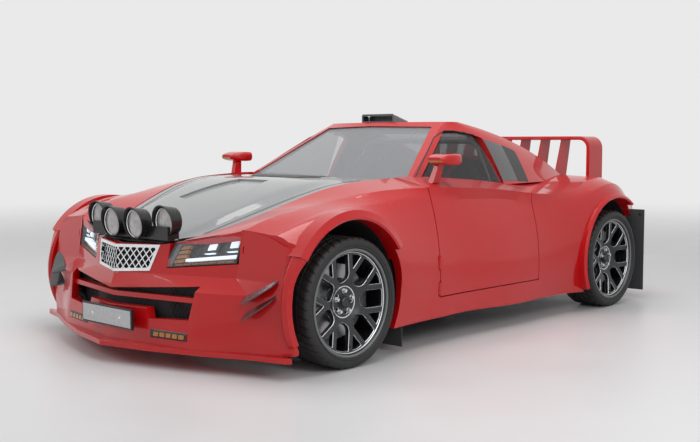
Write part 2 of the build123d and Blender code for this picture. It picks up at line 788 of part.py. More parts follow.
def tail_block(inset):
    """The tail filled solid, drawn in by an inset."""
    with BuildPart() as block:
        for t in tail_outlines:
            half_x = t.half_x - inset / 2
            edge_y = t.edge_y - inset
            with BuildSketch(level(t.z)):
                with BuildLine():
                    ThreePointArc((-half_x, edge_y), (0, t.middle_y - inset), (half_x, edge_y))
                    Line((half_x, edge_y), (half_x, tail_front_y))
                    Line((half_x, tail_front_y), (-half_x, tail_front_y))
                    Line((-half_x, tail_front_y), (-half_x, edge_y))
                make_face()
        loft(ruled=True)
    return block.part


tail_wall = 50
pipe_x = 420
pipe_z = 268
pipe_radius = 46
with BuildPart() as tail_panel:
    add(tail_block(0))
    add(tail_block(tail_wall) & box((-2000, 2000), (2000, 4000), (215, 900)), mode=Mode.SUBTRACT)
    with BuildSketch(across(2500)):
        with Locations((pipe_x, pipe_z)):
            Circle(pipe_radius + 6)
    extrude(amount=-1000, mode=Mode.SUBTRACT)
    add(box((-640, 640), (bulkhead_y, 3080), rear_floor_z), mode=Mode.SUBTRACT)
write(tail_panel.part, "tail_panel")

with BuildPart() as exhaust:
    with BuildSketch(across(3150)):
        with Locations((pipe_x, pipe_z)):
            Circle(pipe_radius)
    extrude(amount=500)
    with BuildSketch(across(3150)):
        with Locations((pipe_x, pipe_z)):
            Circle(pipe_radius - 4)
    extrude(amount=300, mode=Mode.SUBTRACT)
    add(box((pipe_x - 10, pipe_x + 10), (2700, 2760), (pipe_z + pipe_radius - 8, rear_floor_z[0])))
write(exhaust.part, "exhaust")

# Hoop wing with upright fins standing on the deck
wing_top_z = 1152
fin_wall = 7
fin_xs = (-510, -340, -170, 0, 170, 340, 510)


def deck_height(y):
    """Height of the deck's front slope at a station."""
    (y0, z0), (y1, z1) = deck_top[:2]
    return z0 + (z1 - z0) * (y - y0) / (y1 - y0)


with BuildPart() as rear_wing:
    with BuildSketch(across(wing_y[0])):
        with Locations((0, (wing_top_z + 700) / 2)):
            RectangleRounded(2 * wing_half_x, wing_top_z - 700, 84)
            hoop_gap = (2 * (wing_half_x - hoop_wall), wing_top_z - 700 - 2 * hoop_wall)
            RectangleRounded(*hoop_gap, 60, mode=Mode.SUBTRACT)
    extrude(amount=-(wing_y[1] - wing_y[0]))
    add(box((-900, 900), (2700, 3200), (600, wing_foot_z)), mode=Mode.SUBTRACT)
    for x in fin_xs:
        fin = [
            (2738, deck_height(2738)),
            (2745, 905),
            (2822, wing_top_z - 20),
            (2950, wing_top_z - 20),
            (2900, 905),
            (2890, deck_height(2890)),
        ]
        add(prism(beside(x - fin_wall / 2), fin, fin_wall))
write(rear_wing.part, "rear_wing")

# Mud flaps hung behind the wheels
Flap = namedtuple("Flap", "name y x z")
flaps = [
    Flap("front_flap", front_flap_y, (690, 1004), (34, 500)),
    Flap("rear_flap", rear_flap_y, (690, 1070), (66, 636)),
]
for f in flaps:
    with BuildPart() as flap:
        add(box(f.x, (f.y, f.y + flap_wall), f.z))
    write_pair(flap.part, f.name)

# Seats, dashboard, roll cage
seat_x = 365
seat_half_x = 245
with BuildPart() as seat:
    seat_outline = [
        (1130, floor_z[1]), (1130, 330), (1160, 372), (1480, 322),
        (1560, 360), (1690, 1000), (1740, 1010), (1770, 960),
        (1660, 330), (1600, floor_z[1]),
    ]
    add(prism(beside(seat_x - seat_half_x), seat_outline, 2 * seat_half_x))
    add(box((seat_x - 175, seat_x + 175), (1100, 1480), (330, 420)), mode=Mode.SUBTRACT)
    with BuildSketch(beside(seat_x)):
        with BuildLine():
            Polyline((1120, 420), (1440, 368), (1500, 420), (1590, 820), (1400, 820), (1120, 470), close=True)
        make_face()
    extrude(amount=175, both=True, mode=Mode.SUBTRACT)
    add(box((seat_x - 400, seat_x + 400), (1400, 1800), (820, 1100)) & prism(
        across(1300),
        [(seat_x - 245, 820), (seat_x - 120, 1020), (seat_x - 245, 1020)],
        -600,
    ), mode=Mode.SUBTRACT)
    add(box((seat_x - 400, seat_x + 400), (1400, 1800), (820, 1100)) & prism(
        across(1300),
        [(seat_x + 245, 820), (seat_x + 120, 1020), (seat_x + 245, 1020)],
        -600,
    ), mode=Mode.SUBTRACT)
write_pair(seat.part, "seat")

dash_half_x = 600
with BuildPart() as dashboard:
    dash_outline = [(714, 560), (714, 798), (832, 798), (900, 812), (1000, 770), (1010, 690), (960, 600)]
    add(prism(beside(-dash_half_x), dash_outline, 2 * dash_half_x))
    add(box((-800, 800), (700, 832), (790, 830)), mode=Mode.SUBTRACT)
column_tilt = 22
column_end = (seat_x, 1006, 700)

wheel_centre = (seat_x, 1110, 742)
column_plane = Plane(
    (wheel_centre[0], front_axle_y + wheel_centre[1], wheel_centre[2]),
    x_dir=(1, 0, 0),
    z_dir=(0, cos(radians(column_tilt)), sin(radians(column_tilt))),
)
with BuildPart() as steering_wheel:
    with BuildSketch(column_plane.rotated((90, 0, 0))):
        with Locations((165, 0)):
            Circle(15)
    revolve(axis=Axis(column_plane.origin, column_plane.z_dir))
    with BuildSketch(column_plane.offset(-8)):
        for angle in (0, 180, 270):
            with Locations(Rot(0, 0, angle) * Pos(80, 0)):
                Rectangle(160, 30)
        Circle(46)
    extrude(amount=16)
    with BuildSketch(column_plane.offset(-8)):
        Circle(22)
    extrude(amount=-150)
write(steering_wheel.part, "steering_wheel")

with BuildPart() as dash_trimmed:
    add(dashboard.part)
    with BuildSketch(column_plane.offset(-8)):
        Circle(22.4)
    extrude(amount=-170, mode=Mode.SUBTRACT)
write(dash_trimmed.part, "dashboard")

cage_radius = 21
CagePoint = namedtuple("CagePoint", "x z")
hoop_points = [CagePoint(590, floor_z[1]), CagePoint(590, 860), CagePoint(470, 1120)]
cage_y = 1830
with BuildPart() as roll_cage:
    with BuildLine(across(cage_y)) as hoop_line:
        bend = Polyline([(c.x, c.z) for c in hoop_points] + [(-c.x, c.z) for c in reversed(hoop_points)])
        fillet(hoop_line.vertices().sort_by(Axis.Z)[2:], 90)
    with BuildSketch(Plane((hoop_points[0].x, front_axle_y + cage_y, floor_z[1]))):
        Circle(cage_radius)
    sweep(path=hoop_line.wire())
    with BuildLine() as brace_line:
        Line((470, front_axle_y + cage_y, 200), (-470, front_axle_y + cage_y, 1060))
write(roll_cage.part, "roll_cage")

# Knuckles and rear axle that carry the wheels
hub_face_x = 930
with BuildPart() as knuckle:
    add(box((kingpin_x - 26, kingpin_x + 26), (-34, 34), (arm_z[1] + seat_gap, upper_arm_z[0] - seat_gap)))
    with BuildSketch(beside(kingpin_x)):
        with Locations((0, wheel_axis_z)):
            Circle(60)
    extrude(amount=hub_face_x - kingpin_x - seat_gap)
write_pair(knuckle.part, "knuckle")

with BuildPart() as rear_axle:
    with BuildSketch(beside(0)):
        with Locations((wheelbase, wheel_axis_z)):
            Circle(rear_axle_radius)
    extrude(amount=hub_face_x - seat_gap, both=True)
    add(box((-150, 150), (wheelbase - 110, wheelbase + 110), (210, rear_floor_z[0])))
    for side in (-1, 1):
        post_x = sorted((side * 480, side * 560))
        add(box(post_x, (wheelbase - 30, wheelbase + 30), (wheel_axis_z, rear_floor_z[0])))
write(rear_axle.part, "rear_axle")

# Wheels: a tyre with rounded shoulders on a seven-spoke rim
Wheel = namedtuple("Wheel", "name side axle_y")
wheels = [
    Wheel("front_left", 1, 0),
    Wheel("front_right", -1, 0),
    Wheel("rear_left", 1, wheelbase),
    Wheel("rear_right", -1, wheelbase),
]
half_tyre = tyre_width / 2
half_rim = rim_width / 2
bead_radius = rim_radius - 4
with BuildPart() as tyre:
    with BuildSketch(Plane.XY):
        with BuildLine():
            Line((-half_tyre + 26, tyre_radius), (half_tyre - 26, tyre_radius))
            shoulder = (half_tyre - 7, tyre_radius - 8)
            ThreePointArc((half_tyre - 26, tyre_radius), shoulder, (half_tyre, tyre_radius - 28))
            Line((half_tyre, tyre_radius - 28), (half_rim, bead_radius))
            Line((half_rim, bead_radius), (-half_rim, bead_radius))
            Line((-half_rim, bead_radius), (-half_tyre, tyre_radius - 28))
            shoulder = (7 - half_tyre, tyre_radius - 8)
            ThreePointArc((-half_tyre, tyre_radius - 28), shoulder, (26 - half_tyre, tyre_radius))
        make_face()
    revolve(axis=Axis.X)

face_x = half_rim - 16
hub_radius = 78
spoke_wall = 26
pocket_half = 43
pocket_foot = 146
pocket_top = 240
with BuildSketch() as spoke_pocket:
    with BuildLine():
        Line((pocket_foot, -pocket_half), (pocket_top - 4, -pocket_half))
        ThreePointArc((pocket_top - 4, -pocket_half), (pocket_top, 0), (pocket_top - 4, pocket_half))
        Line((pocket_top - 4, pocket_half), (pocket_foot, pocket_half))
        ThreePointArc((pocket_foot, pocket_half), (pocket_foot - pocket_half, 0), (pocket_foot, -pocket_half))
    make_face()
with BuildSketch() as spoke_fork:
    with BuildLine():
        Polyline((170, 0), (236, -32), (pocket_top, 0), (236, 32), close=True)
    make_face()
with BuildPart() as rim:
    with BuildSketch(Plane.XY):
        with BuildLine():
            Polyline(
                (half_rim, bead_radius),
                (half_rim, bead_radius - 12),
                (half_rim - 26, bead_radius - 22),
                (60 - half_rim, bead_radius - 26),
                (-half_rim, bead_radius - 12),
                (-half_rim, bead_radius),
                close=True,
            )
        make_face()
    revolve(axis=Axis.X)
    with BuildSketch(Plane.XY):
        with BuildLine():
            Polyline(
                (face_x, bead_radius - 10),
                (face_x - 22, hub_radius + 40),
                (face_x - 44, hub_radius),
                (face_x - 44, 0),
                (hub_face_x - wheel_plane_x, 0),
                (hub_face_x - wheel_plane_x, hub_radius),
                (face_x - 24 - spoke_wall, hub_radius + 40),
                (face_x - spoke_wall, bead_radius - 10),
                close=True,
            )
        make_face()
    revolve(axis=Axis.X)
    with BuildSketch(Plane.YZ):
        with PolarLocations(0, spoke_count):
            add(spoke_pocket.sketch)
        with PolarLocations(0, spoke_count, start_angle=180 / spoke_count):
            add(spoke_fork.sketch)
        with PolarLocations(lug_circle / 2, lug_count):
            Circle(7)
    extrude(amount=200, both=True, mode=Mode.SUBTRACT)

for w in wheels:
    spot = Pos(w.side * wheel_plane_x, front_axle_y + w.axle_y, wheel_axis_z)
    turn = Rot(0, 0, 0 if w.side > 0 else 180)
    write(spot * turn * tyre.part, f"tyre_{w.name}")
    write(spot * turn * rim.part, f"rim_{w.name}")
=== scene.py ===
from math import cos, pi, radians, sin

import bmesh
import bpy
from mathutils import Matrix, Vector
from mathutils.bvhtree import BVHTree


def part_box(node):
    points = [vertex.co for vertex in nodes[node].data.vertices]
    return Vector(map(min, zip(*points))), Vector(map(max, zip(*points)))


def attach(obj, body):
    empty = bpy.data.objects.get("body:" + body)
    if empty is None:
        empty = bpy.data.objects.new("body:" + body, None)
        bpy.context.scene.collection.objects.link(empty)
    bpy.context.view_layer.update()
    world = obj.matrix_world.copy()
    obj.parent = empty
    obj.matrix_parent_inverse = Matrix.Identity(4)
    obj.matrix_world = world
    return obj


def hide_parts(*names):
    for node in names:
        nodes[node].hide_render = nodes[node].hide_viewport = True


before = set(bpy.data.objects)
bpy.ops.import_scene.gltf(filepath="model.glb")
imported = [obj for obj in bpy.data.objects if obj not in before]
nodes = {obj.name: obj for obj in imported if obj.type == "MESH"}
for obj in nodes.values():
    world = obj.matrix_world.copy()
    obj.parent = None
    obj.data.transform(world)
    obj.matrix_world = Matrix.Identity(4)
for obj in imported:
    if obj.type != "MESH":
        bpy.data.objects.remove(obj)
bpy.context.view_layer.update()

print("frame loaded:", len(nodes), "nodes")

frontAxle = sum(corner.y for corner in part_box("tyre_front_left")) / 2
sideNames = {1: "left", -1: "right"}


def at(x, y, z):  # millimetres, y counted rearwards from the front axle
    return Vector((x / 1000, y / 1000 + frontAxle, z / 1000))

def newMaterial(name):
    mat = bpy.data.materials.new(name)
    mat.use_nodes = True
    tree = mat.node_tree
    shader = tree.nodes["Principled BSDF"]
    return mat, tree, shader


def setInputs(shader, values):
    for key, value in values.items():
        shader.inputs[key].default_value = value


def rampBetween(tree, factor, stops):
    ramp = tree.nodes.new("ShaderNodeValToRGB")
    elements = ramp.color_ramp.elements
    while len(elements) < len(stops):
        elements.new(0.5)
    for element, (place, colour) in zip(elements, stops):
        element.position = place
        element.color = (*colour, 1)
    tree.links.new(factor, ramp.inputs["Fac"])
    return ramp.outputs["Color"]


def newGroup(name, inputs, outputs):
    group = bpy.data.node_groups.new(name, "ShaderNodeTree")
    for label, kind, value in inputs:
        socket = group.interface.new_socket(label, in_out="INPUT", socket_type=kind)
        socket.default_value = value
    for label, kind in outputs:
        group.interface.new_socket(label, in_out="OUTPUT", socket_type=kind)
    source = group.nodes.new("NodeGroupInput")
    sink = group.nodes.new("NodeGroupOutput")
    return group, source, sink


def mathNode(tree, operation, a, b=None):
    node = tree.nodes.new("ShaderNodeMath")
    node.operation = operation
    for socket, value in zip(node.inputs, (a, b)):
        if value is None:
            continue
        if isinstance(value, (int, float)):
            socket.default_value = value
        else:
            tree.links.new(value, socket)
    return node.outputs[0]


def placeGroup(tree, group, **values):
    node = tree.nodes.new("ShaderNodeGroup")
    node.node_tree = group
    for key, value in values.items():
        node.inputs[key].default_value = value
    return node


def buildGrainGroup():  # fine and coarse mottling for colour, roughness and bump
    group, source, sink = newGroup(
        "surfaceGrain",
        [("scale", "NodeSocketFloat", 40.0), ("stretch", "NodeSocketVector", (1, 1, 1)),
         ("low", "NodeSocketFloat", 0.4), ("high", "NodeSocketFloat", 0.6)],
        [("mask", "NodeSocketFloat"), ("value", "NodeSocketFloat")])
    coords = group.nodes.new("ShaderNodeTexCoord")
    scaled = group.nodes.new("ShaderNodeVectorMath")
    scaled.operation = "MULTIPLY"
    group.links.new(coords.outputs["Object"], scaled.inputs[0])
    group.links.new(source.outputs["stretch"], scaled.inputs[1])
    noise = group.nodes.new("ShaderNodeTexNoise")
    noise.inputs["Detail"].default_value = 6
    group.links.new(scaled.outputs[0], noise.inputs["Vector"])
    group.links.new(source.outputs["scale"], noise.inputs["Scale"])
    spread = group.nodes.new("ShaderNodeMapRange")
    group.links.new(noise.outputs["Fac"], spread.inputs["Value"])
    spread.inputs["From Min"].default_value = 0.3
    spread.inputs["From Max"].default_value = 0.7
    group.links.new(source.outputs["low"], spread.inputs["To Min"])
    group.links.new(source.outputs["high"], spread.inputs["To Max"])
    group.links.new(noise.outputs["Fac"], sink.inputs["mask"])
    group.links.new(spread.outputs["Result"], sink.inputs["value"])
    return group


def buildTwillGroup():  # two-by-two carbon twill seen from above, diagonal ribs of over and under tows
    group, source, sink = newGroup(
        "carbonTwill", [("tow", "NodeSocketFloat", 0.006)],
        [("warp", "NodeSocketFloat"), ("height", "NodeSocketFloat")])
    coords = group.nodes.new("ShaderNodeTexCoord")
    split = group.nodes.new("ShaderNodeSeparateXYZ")
    group.links.new(coords.outputs["Object"], split.inputs[0])
    across = mathNode(group, "DIVIDE", split.outputs["X"], source.outputs["tow"])
    along = mathNode(group, "DIVIDE", split.outputs["Y"], source.outputs["tow"])
    column = mathNode(group, "FLOOR", across)
    row = mathNode(group, "FLOOR", along)
    step = mathNode(group, "FLOORED_MODULO", mathNode(group, "ADD", column, row), 4.0)
    over = mathNode(group, "LESS_THAN", step, 1.5)
    acrossBulge = mathNode(group, "PINGPONG", across, 0.5)
    alongBulge = mathNode(group, "PINGPONG", along, 0.5)
    warpHeight = mathNode(group, "MULTIPLY", over, acrossBulge)
    weftHeight = mathNode(group, "MULTIPLY", mathNode(group, "SUBTRACT", 1.0, over), alongBulge)
    group.links.new(over, sink.inputs["warp"])
    group.links.new(mathNode(group, "ADD", warpHeight, weftHeight), sink.inputs["height"])
    return group


grainGroup = buildGrainGroup()
twillGroup = buildTwillGroup()


def grainedMaterial(name, dark, light, scale, roughness, bump=0.0, stretch=(1, 1, 1), **plain):
    mat, tree, shader = newMaterial(name)  # colour and roughness both wander with the grain
    grain = placeGroup(tree, grainGroup, scale=scale, low=roughness[0], high=roughness[1], stretch=stretch)
    colour = rampBetween(tree, grain.outputs["mask"], [(0.3, dark), (0.7, light)])
    tree.links.new(colour, shader.inputs["Base Color"])
    tree.links.new(grain.outputs["value"], shader.inputs["Roughness"])
    if bump:
        relief = tree.nodes.new("ShaderNodeBump")
        relief.inputs["Strength"].default_value = bump
        relief.inputs["Distance"].default_value = 0.001
        tree.links.new(grain.outputs["mask"], relief.inputs["Height"])
        tree.links.new(relief.outputs["Normal"], shader.inputs["Normal"])
    setInputs(shader, plain)
    return mat


def carbonMaterial(name, weft, warp, tow, **plain):
    mat, tree, shader = newMaterial(name)
    twill = placeGroup(tree, twillGroup, tow=tow)
    colour = rampBetween(tree, twill.outputs["warp"], [(0.0, weft), (1.0, warp)])
    tree.links.new(colour, shader.inputs["Base Color"])
    relief = tree.nodes.new("ShaderNodeBump")
    relief.inputs["Strength"].default_value = 0.12
    relief.inputs["Distance"].default_value = 0.0004
    tree.links.new(twill.outputs["height"], relief.inputs["Height"])
    tree.links.new(relief.outputs["Normal"], shader.inputs["Normal"])
    setInputs(shader, plain)
    return mat


def glassMaterial(name, tintAndPaintedReflection, alpha, roughness):
    mat, tree, shader = newMaterial(name)  # thin pane: clear coat of gloss over a see-through base colour, which is partly real tint and partly painted reflection, as in the windscreen's pale grey
    grain = placeGroup(tree, grainGroup, scale=3.0, low=roughness, high=roughness + 0.03)
    tree.links.new(grain.outputs["value"], shader.inputs["Roughness"])
    setInputs(shader, {"Base Color": (*tintAndPaintedReflection, 1), "Alpha": alpha, "IOR": 1.5, "Specular IOR Level": 0.7})
    return mat


def lightMaterial(name, colour, strength):
    mat, tree, shader = newMaterial(name)
    grain = placeGroup(tree, grainGroup, scale=220.0, low=0.15, high=0.3)
    glow = rampBetween(tree, grain.outputs["mask"], [(0.3, tuple(c * 0.8 for c in colour)), (0.7, colour)])
    tree.links.new(glow, shader.inputs["Emission Color"])
    tree.links.new(grain.outputs["value"], shader.inputs["Roughness"])
    setInputs(shader, {"Base Color": (*colour, 1), "Emission Strength": strength})
    return mat


redPaint = grainedMaterial(
    "redPaint", (0.54, 0.002, 0.004), (0.60, 0.004, 0.006), 900, (0.34, 0.40),
    **{"Coat Weight": 0.7, "Coat Roughness": 0.03, "Specular IOR Level": 0.2})
greyCarbon = carbonMaterial(
    "greyCarbon", (0.225, 0.23, 0.235), (0.255, 0.26, 0.267), 0.004,
    **{"Roughness": 0.38, "Coat Weight": 1.0, "Coat Roughness": 0.05})
darkCarbon = carbonMaterial(
    "darkCarbon", (0.014, 0.014, 0.016), (0.036, 0.036, 0.04), 0.005,
    **{"Roughness": 0.4, "Coat Weight": 1.0, "Coat Roughness": 0.06})
blackTrim = grainedMaterial("blackTrim", (0.008, 0.008, 0.009), (0.016, 0.016, 0.018), 300, (0.22, 0.32))
blackMatt = grainedMaterial("blackMatt", (0.010, 0.010, 0.011), (0.022, 0.022, 0.024), 240, (0.6, 0.75), 0.3)
flapRubber = grainedMaterial("flapRubber", (0.045, 0.047, 0.05), (0.07, 0.072, 0.076), 120, (0.6, 0.72), 0.4)
tyreRubber = grainedMaterial("tyreRubber", (0.010, 0.010, 0.011), (0.022, 0.022, 0.023), 160, (0.5, 0.66),
                             0.4)
gunMetal = grainedMaterial(
    "gunMetal", (0.045, 0.048, 0.052), (0.075, 0.078, 0.084), 260, (0.26, 0.36), Metallic=0.85)
machinedEdge = grainedMaterial(
    "machinedEdge", (0.66, 0.67, 0.68), (0.80, 0.81, 0.82), 400, (0.24, 0.36), Metallic=1.0)
brightChrome = grainedMaterial(
    "brightChrome", (0.74, 0.75, 0.77), (0.86, 0.87, 0.89), 60, (0.06, 0.14), Metallic=1.0)
castSteel = grainedMaterial("castSteel", (0.05, 0.05, 0.053), (0.1, 0.1, 0.105), 90, (0.45, 0.6), 0.3,
                            Metallic=0.7)
brushedPipe = grainedMaterial(
    "brushedPipe", (0.32, 0.32, 0.33), (0.5, 0.5, 0.51), 120, (0.28, 0.42), 0.1, (1, 8, 8), Metallic=1.0)
seatCloth = grainedMaterial("seatCloth", (0.016, 0.016, 0.018), (0.04, 0.04, 0.044), 900, (0.8, 0.95), 0.6)
dashSkin = grainedMaterial("dashSkin", (0.03, 0.03, 0.032), (0.05, 0.05, 0.053), 500, (0.55, 0.7), 0.4)
# the windscreen and rear window get a pale grey base colour: painted reflection of the pale studio, not a tint
# of the glass
screenGlassPaintedReflection = glassMaterial("screenGlassPaintedReflection", (0.42, 0.43, 0.45), 0.5, 0.02)
sideGlass = glassMaterial("sideGlass", (0.04, 0.042, 0.046), 0.35, 0.02)
lensGlass = glassMaterial("lensGlass", (0.75, 0.78, 0.82), 0.14, 0.01)
coolLight = lightMaterial("coolLight", (0.80, 0.90, 1.0), 0.85)
amberLight = grainedMaterial(
    "amberLight", (0.36, 0.12, 0.01), (0.55, 0.22, 0.02), 300, (0.15, 0.25), **{"Coat Weight": 0.8})
redLens = grainedMaterial("redLens", (0.30, 0.004, 0.004), (0.4, 0.008, 0.008), 300, (0.1, 0.2),
                          **{"Coat Weight": 1.0})
satinBlack = grainedMaterial("satinBlack", (0.028, 0.029, 0.031), (0.045, 0.046, 0.049), 300, (0.4, 0.5))
# black glass of the dash screen; on the quarter window panel the same black is painted shade of the cabin
# behind the glass
blackGlassAndShade = grainedMaterial(
    "blackGlassAndShade", (0.010, 0.010, 0.011), (0.016, 0.016, 0.018), 40, (0.04, 0.08), **{"Coat Weight": 1.0})
beltRed = grainedMaterial("beltRed", (0.22, 0.008, 0.01), (0.32, 0.014, 0.016), 700, (0.7, 0.85), 0.4)
satinGrey = grainedMaterial("satinGrey", (0.16, 0.165, 0.17), (0.22, 0.225, 0.23), 200, (0.35, 0.5),
                            Metallic=0.4)
podGlass = grainedMaterial(
    "podGlass", (0.52, 0.51, 0.50), (0.74, 0.73, 0.72), 30, (0.10, 0.25),
    **{"Coat Weight": 1.0, "Coat Roughness": 0.03})
plateFace = grainedMaterial("plateFace", (0.50, 0.51, 0.52), (0.62, 0.63, 0.64), 60, (0.35, 0.5))
print("materials made")


def makePiece(name, verts, faces, mats, body, faceMats=None, sharp=35):
    mesh = bpy.data.meshes.new(name)
    mesh.from_pydata([tuple(v) for v in verts], [], faces)
    for mat in mats:
        mesh.materials.append(mat)
    work = bmesh.new()
    work.from_mesh(mesh)
    bmesh.ops.remove_doubles(work, verts=work.verts, dist=0.00002)
    if faceMats:
        for face, index in zip(work.faces, faceMats):
            face.material_index = index
    bmesh.ops.recalc_face_normals(work, faces=work.faces)
    for face in work.faces:
        face.smooth = True
    for edge in work.edges:
        edge.smooth = edge.calc_face_angle(0.0) < radians(sharp)
    work.to_mesh(mesh)
    work.free()
    obj = bpy.data.objects.new(name, mesh)
    bpy.context.collection.objects.link(obj)
    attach(obj, body)
    return obj


# rounded edges that catch the light
def soften(obj, width, segments=2, angle=32, edgeMat=-1, weld=0.0, clamp=True):
    if weld:
        joinUp = obj.modifiers.new("joinUp", "WELD")
        joinUp.merge_threshold = weld
    bevel = obj.modifiers.new("edgeRound", "BEVEL")
    bevel.width, bevel.segments = width, segments
    bevel.limit_method, bevel.angle_limit = "ANGLE", radians(angle)
    bevel.use_clamp_overlap = clamp
    bevel.material = edgeMat
    bevel.miter_outer = "MITER_ARC"
    shade = obj.modifiers.new("evenShade", "WEIGHTED_NORMAL")
    shade.keep_sharp = False
    return obj


class Shape:  # vertices and faces gathered into one piece
    def __init__(self):
        self.verts, self.faces, self.mats = [], [], []

    def put(self, verts, faces, mat=0):
        base = len(self.verts)
        self.verts += [Vector(v) for v in verts]
        self.faces += [tuple(i + base for i in face) for face in faces]
        self.mats += [mat] * len(faces)
        return self

    def grid(self, rows, closeRows=False, closeCols=False, mat=0):
        base = len(self.verts)
        count, width = len(rows), len(rows[0])
        for row in rows:
            self.verts += [Vector(v) for v in row]
        for r in range(count if closeRows else count - 1):
            for c in range(width if closeCols else width - 1):
                a = base + r * width + c
                b = base + r * width + (c + 1) % width
                d = base + (r + 1) % count * width + c
                e = base + (r + 1) % count * width + (c + 1) % width
                self.faces.append((a, b, e, d))
                self.mats.append(mat)
        return self

    def lathe(self, centre, axis, profile, steps=48, mat=0):  # profile: (along the axis, radius)
        axis = Vector(axis).normalized()
        side = axis.orthogonal().normalized()
        other = axis.cross(side)
        rows = []
        for along, radius in profile:
            ring = []
            for k in range(steps):
                turn = 2 * pi * k / steps
                ring.append(centre + axis * along + (side * cos(turn) + other * sin(turn)) * radius)
            rows.append(ring)
        return self.grid(rows, closeCols=True, mat=mat)

    def block(self, corners, mat=0):  # eight corners, lower four then upper four
        faces = [(0, 1, 2, 3), (4, 7, 6, 5), (0, 4, 5, 1), (1, 5, 6, 2), (2, 6, 7, 3), (3, 7, 4, 0)]
        return self.put(corners, faces, mat)

    def brick(self, low, high, mat=0):  # box between two corners
        (x0, y0, z0), (x1, y1, z1) = low, high
        flat = [(x0, y0), (x1, y0), (x1, y1), (x0, y1)]
        return self.block([(*p, z0) for p in flat] + [(*p, z1) for p in flat], mat)

    def tube(self, points, radius, steps=12, mat=0, closed=False):
        points = [Vector(p) for p in points]
        rows = []
        up = Vector((0.13, 0.21, 0.97))
        count = len(points)
        for i, point in enumerate(points):
            ahead = points[(i + 1) % count] if closed or i < count - 1 else point
            behind = points[i - 1] if closed or i > 0 else point
            along = (ahead - behind).normalized()
            side = along.cross(up).normalized()
            rise = side.cross(along)
            turns = [2 * pi * k / steps for k in range(steps)]
            rows.append([point + (side * cos(t) + rise * sin(t)) * radius for t in turns])
        self.grid(rows, closeRows=closed, closeCols=True, mat=mat)
        if not closed:
            base = len(self.verts) - count * steps
            self.put(self.verts[base:base + steps], [tuple(range(steps))], mat)
            self.put(self.verts[-2 * steps:-steps], [tuple(range(steps))], mat)
        return self

    def flip(self):  # the same thing on the right of the car
        self.verts = [Vector((-v.x, v.y, v.z)) for v in self.verts]
        self.faces = [tuple(reversed(face)) for face in self.faces]
        return self

    def make(self, name, mats, body, slotName, sharp=35):
        return makePiece(name, self.verts, self.faces, mats, body, self.mats, sharp)


trees = {}


def surfaceHit(node, start, direction):  # where a line meets a CAD node, and the face's normal
    if node not in trees:
        mesh = nodes[node].data
        trees[node] = BVHTree.FromPolygons([v.co for v in mesh.vertices], [p.vertices for p in mesh.polygons])
    return trees[node].ray_cast(start, Vector(direction).normalized())[:2]


def dropOn(node, x, y, lift=1.0):  # a point on top of a node, lifted by millimetres
    place, normal = surfaceHit(node, at(x, y, 3000), (0, 0, -1))
    if place is None:
        return None
    return place + Vector((0, 0, lift / 1000))


def pressOn(node, side, y, z, lift=1.0):  # a point on a node's outer side
    place, normal = surfaceHit(node, at(side * 3000, y, z), (-side, 0, 0))
    if place is None:
        return None
    return place + Vector((side * lift / 1000, 0, 0))


def faceOn(node, x, z, lift=1.0, fromRear=False):  # a point on a node's front or rear
    place, normal = surfaceHit(node, at(x, 6000 if fromRear else -3000, z), (0, -1 if fromRear else 1, 0))
    if place is None:
        return None
    return place + Vector((0, (lift if fromRear else -lift) / 1000, 0))


def blendPoint(corners, u, v):  # bilinear patch: low start, low end, high start, high end
    a, b, c, d = corners
    return (a * (1 - u) + b * u) * (1 - v) + (c * (1 - u) + d * u) * v



nodeFinish = {  # material of each CAD node by the start of its name, and its edge rounding in millimetres
    "redPaint": (["cabin_shell", "front_bumper", "front_splitter", "tail_panel", "rear_wing", "rear_quarter",
                  "front_fender", "door_left", "door_right"], 3.0),
    "greyCarbon": (["bonnet", "rear_deck"], 2.5),
    "darkCarbon": (["canard", "roof_scoop"], 1.2),
    "blackTrim": (["lamp_bar"], 2.5),
    "blackMatt": (["dashboard", "steering_wheel", "headlamp"], 3.0),
    "brightChrome": (["grille"], 1.2),
    "screenGlassPaintedReflection": (["windscreen", "rear_window"], 0),
    "sideGlass": (["door_glass"], 0),
    "gunMetal": (["rim"], 2.6),
    "tyreRubber": (["tyre"], 0),
    "flapRubber": (["front_flap", "rear_flap"], 1.0),
    "castSteel": (["floor_tub", "engine_block", "knuckle", "rear_axle"], 0),
    "brushedPipe": (["exhaust", "roll_cage"], 0),
    "seatCloth": (["seat"], 6.0),
}
for matName, (stems, rounding) in nodeFinish.items():
    for name, node in nodes.items():
        if not any(name.startswith(stem) for stem in stems) or (matName == "redPaint" and "glass" in name):
            continue
        node.data.materials.clear()
        node.data.materials.append(bpy.data.materials[matName])
        if matName == "gunMetal":
            node.data.materials.append(machinedEdge)
        if rounding:
            isRim = matName == "gunMetal"
            soften(node, rounding / 1000, 1 if isRim else 2, 24, 1 if isRim else -1, 0.00005, not isRim)
print("CAD nodes finished")


tyreLook = {"pitches": 44, "grooves": (-58, -20, 20, 58), "grooveWidth": 8, "grooveDepth": 6,
            "slotDepth": 4.5}
wheelNames = ["front_left", "front_right", "rear_left", "rear_right"]


def wheelSpot(name):
    low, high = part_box("tyre_" + name)
    return (low + high) / 2, 1 if low.x > 0 else -1


def tyreProfile():  # along the axle, radius, share of the slot's depth
    side = [(112.4, 269.5), (116, 271), (119.5, 275), (120, 278.5), (117.6, 281), (118.4, 285),
            (120.4, 286.5), (121.4, 289), (121.6, 296), (120.6, 303), (117.6, 311), (112.6, 317.5),
            (105.5, 322)]
    tread = []
    half = tyreLook["grooveWidth"] / 2
    depth = tyreLook["grooveDepth"]
    for middle in tyreLook["grooves"]:
        tread += [(middle - half - 1, 325, 1), (middle - half + 0.5, 325 - depth, 0),
                  (middle + half - 0.5, 325 - depth, 0), (middle + half + 1, 325, 1)]
    outer = [(a, r, max(0, min(1, (r - 311) / 8))) for a, r in side]
    inner = [(-a, r, s) for a, r, s in outer]
    return inner + [(-96, 324.6, 1)] + tread + [(96, 324.6, 1)] + outer[::-1]


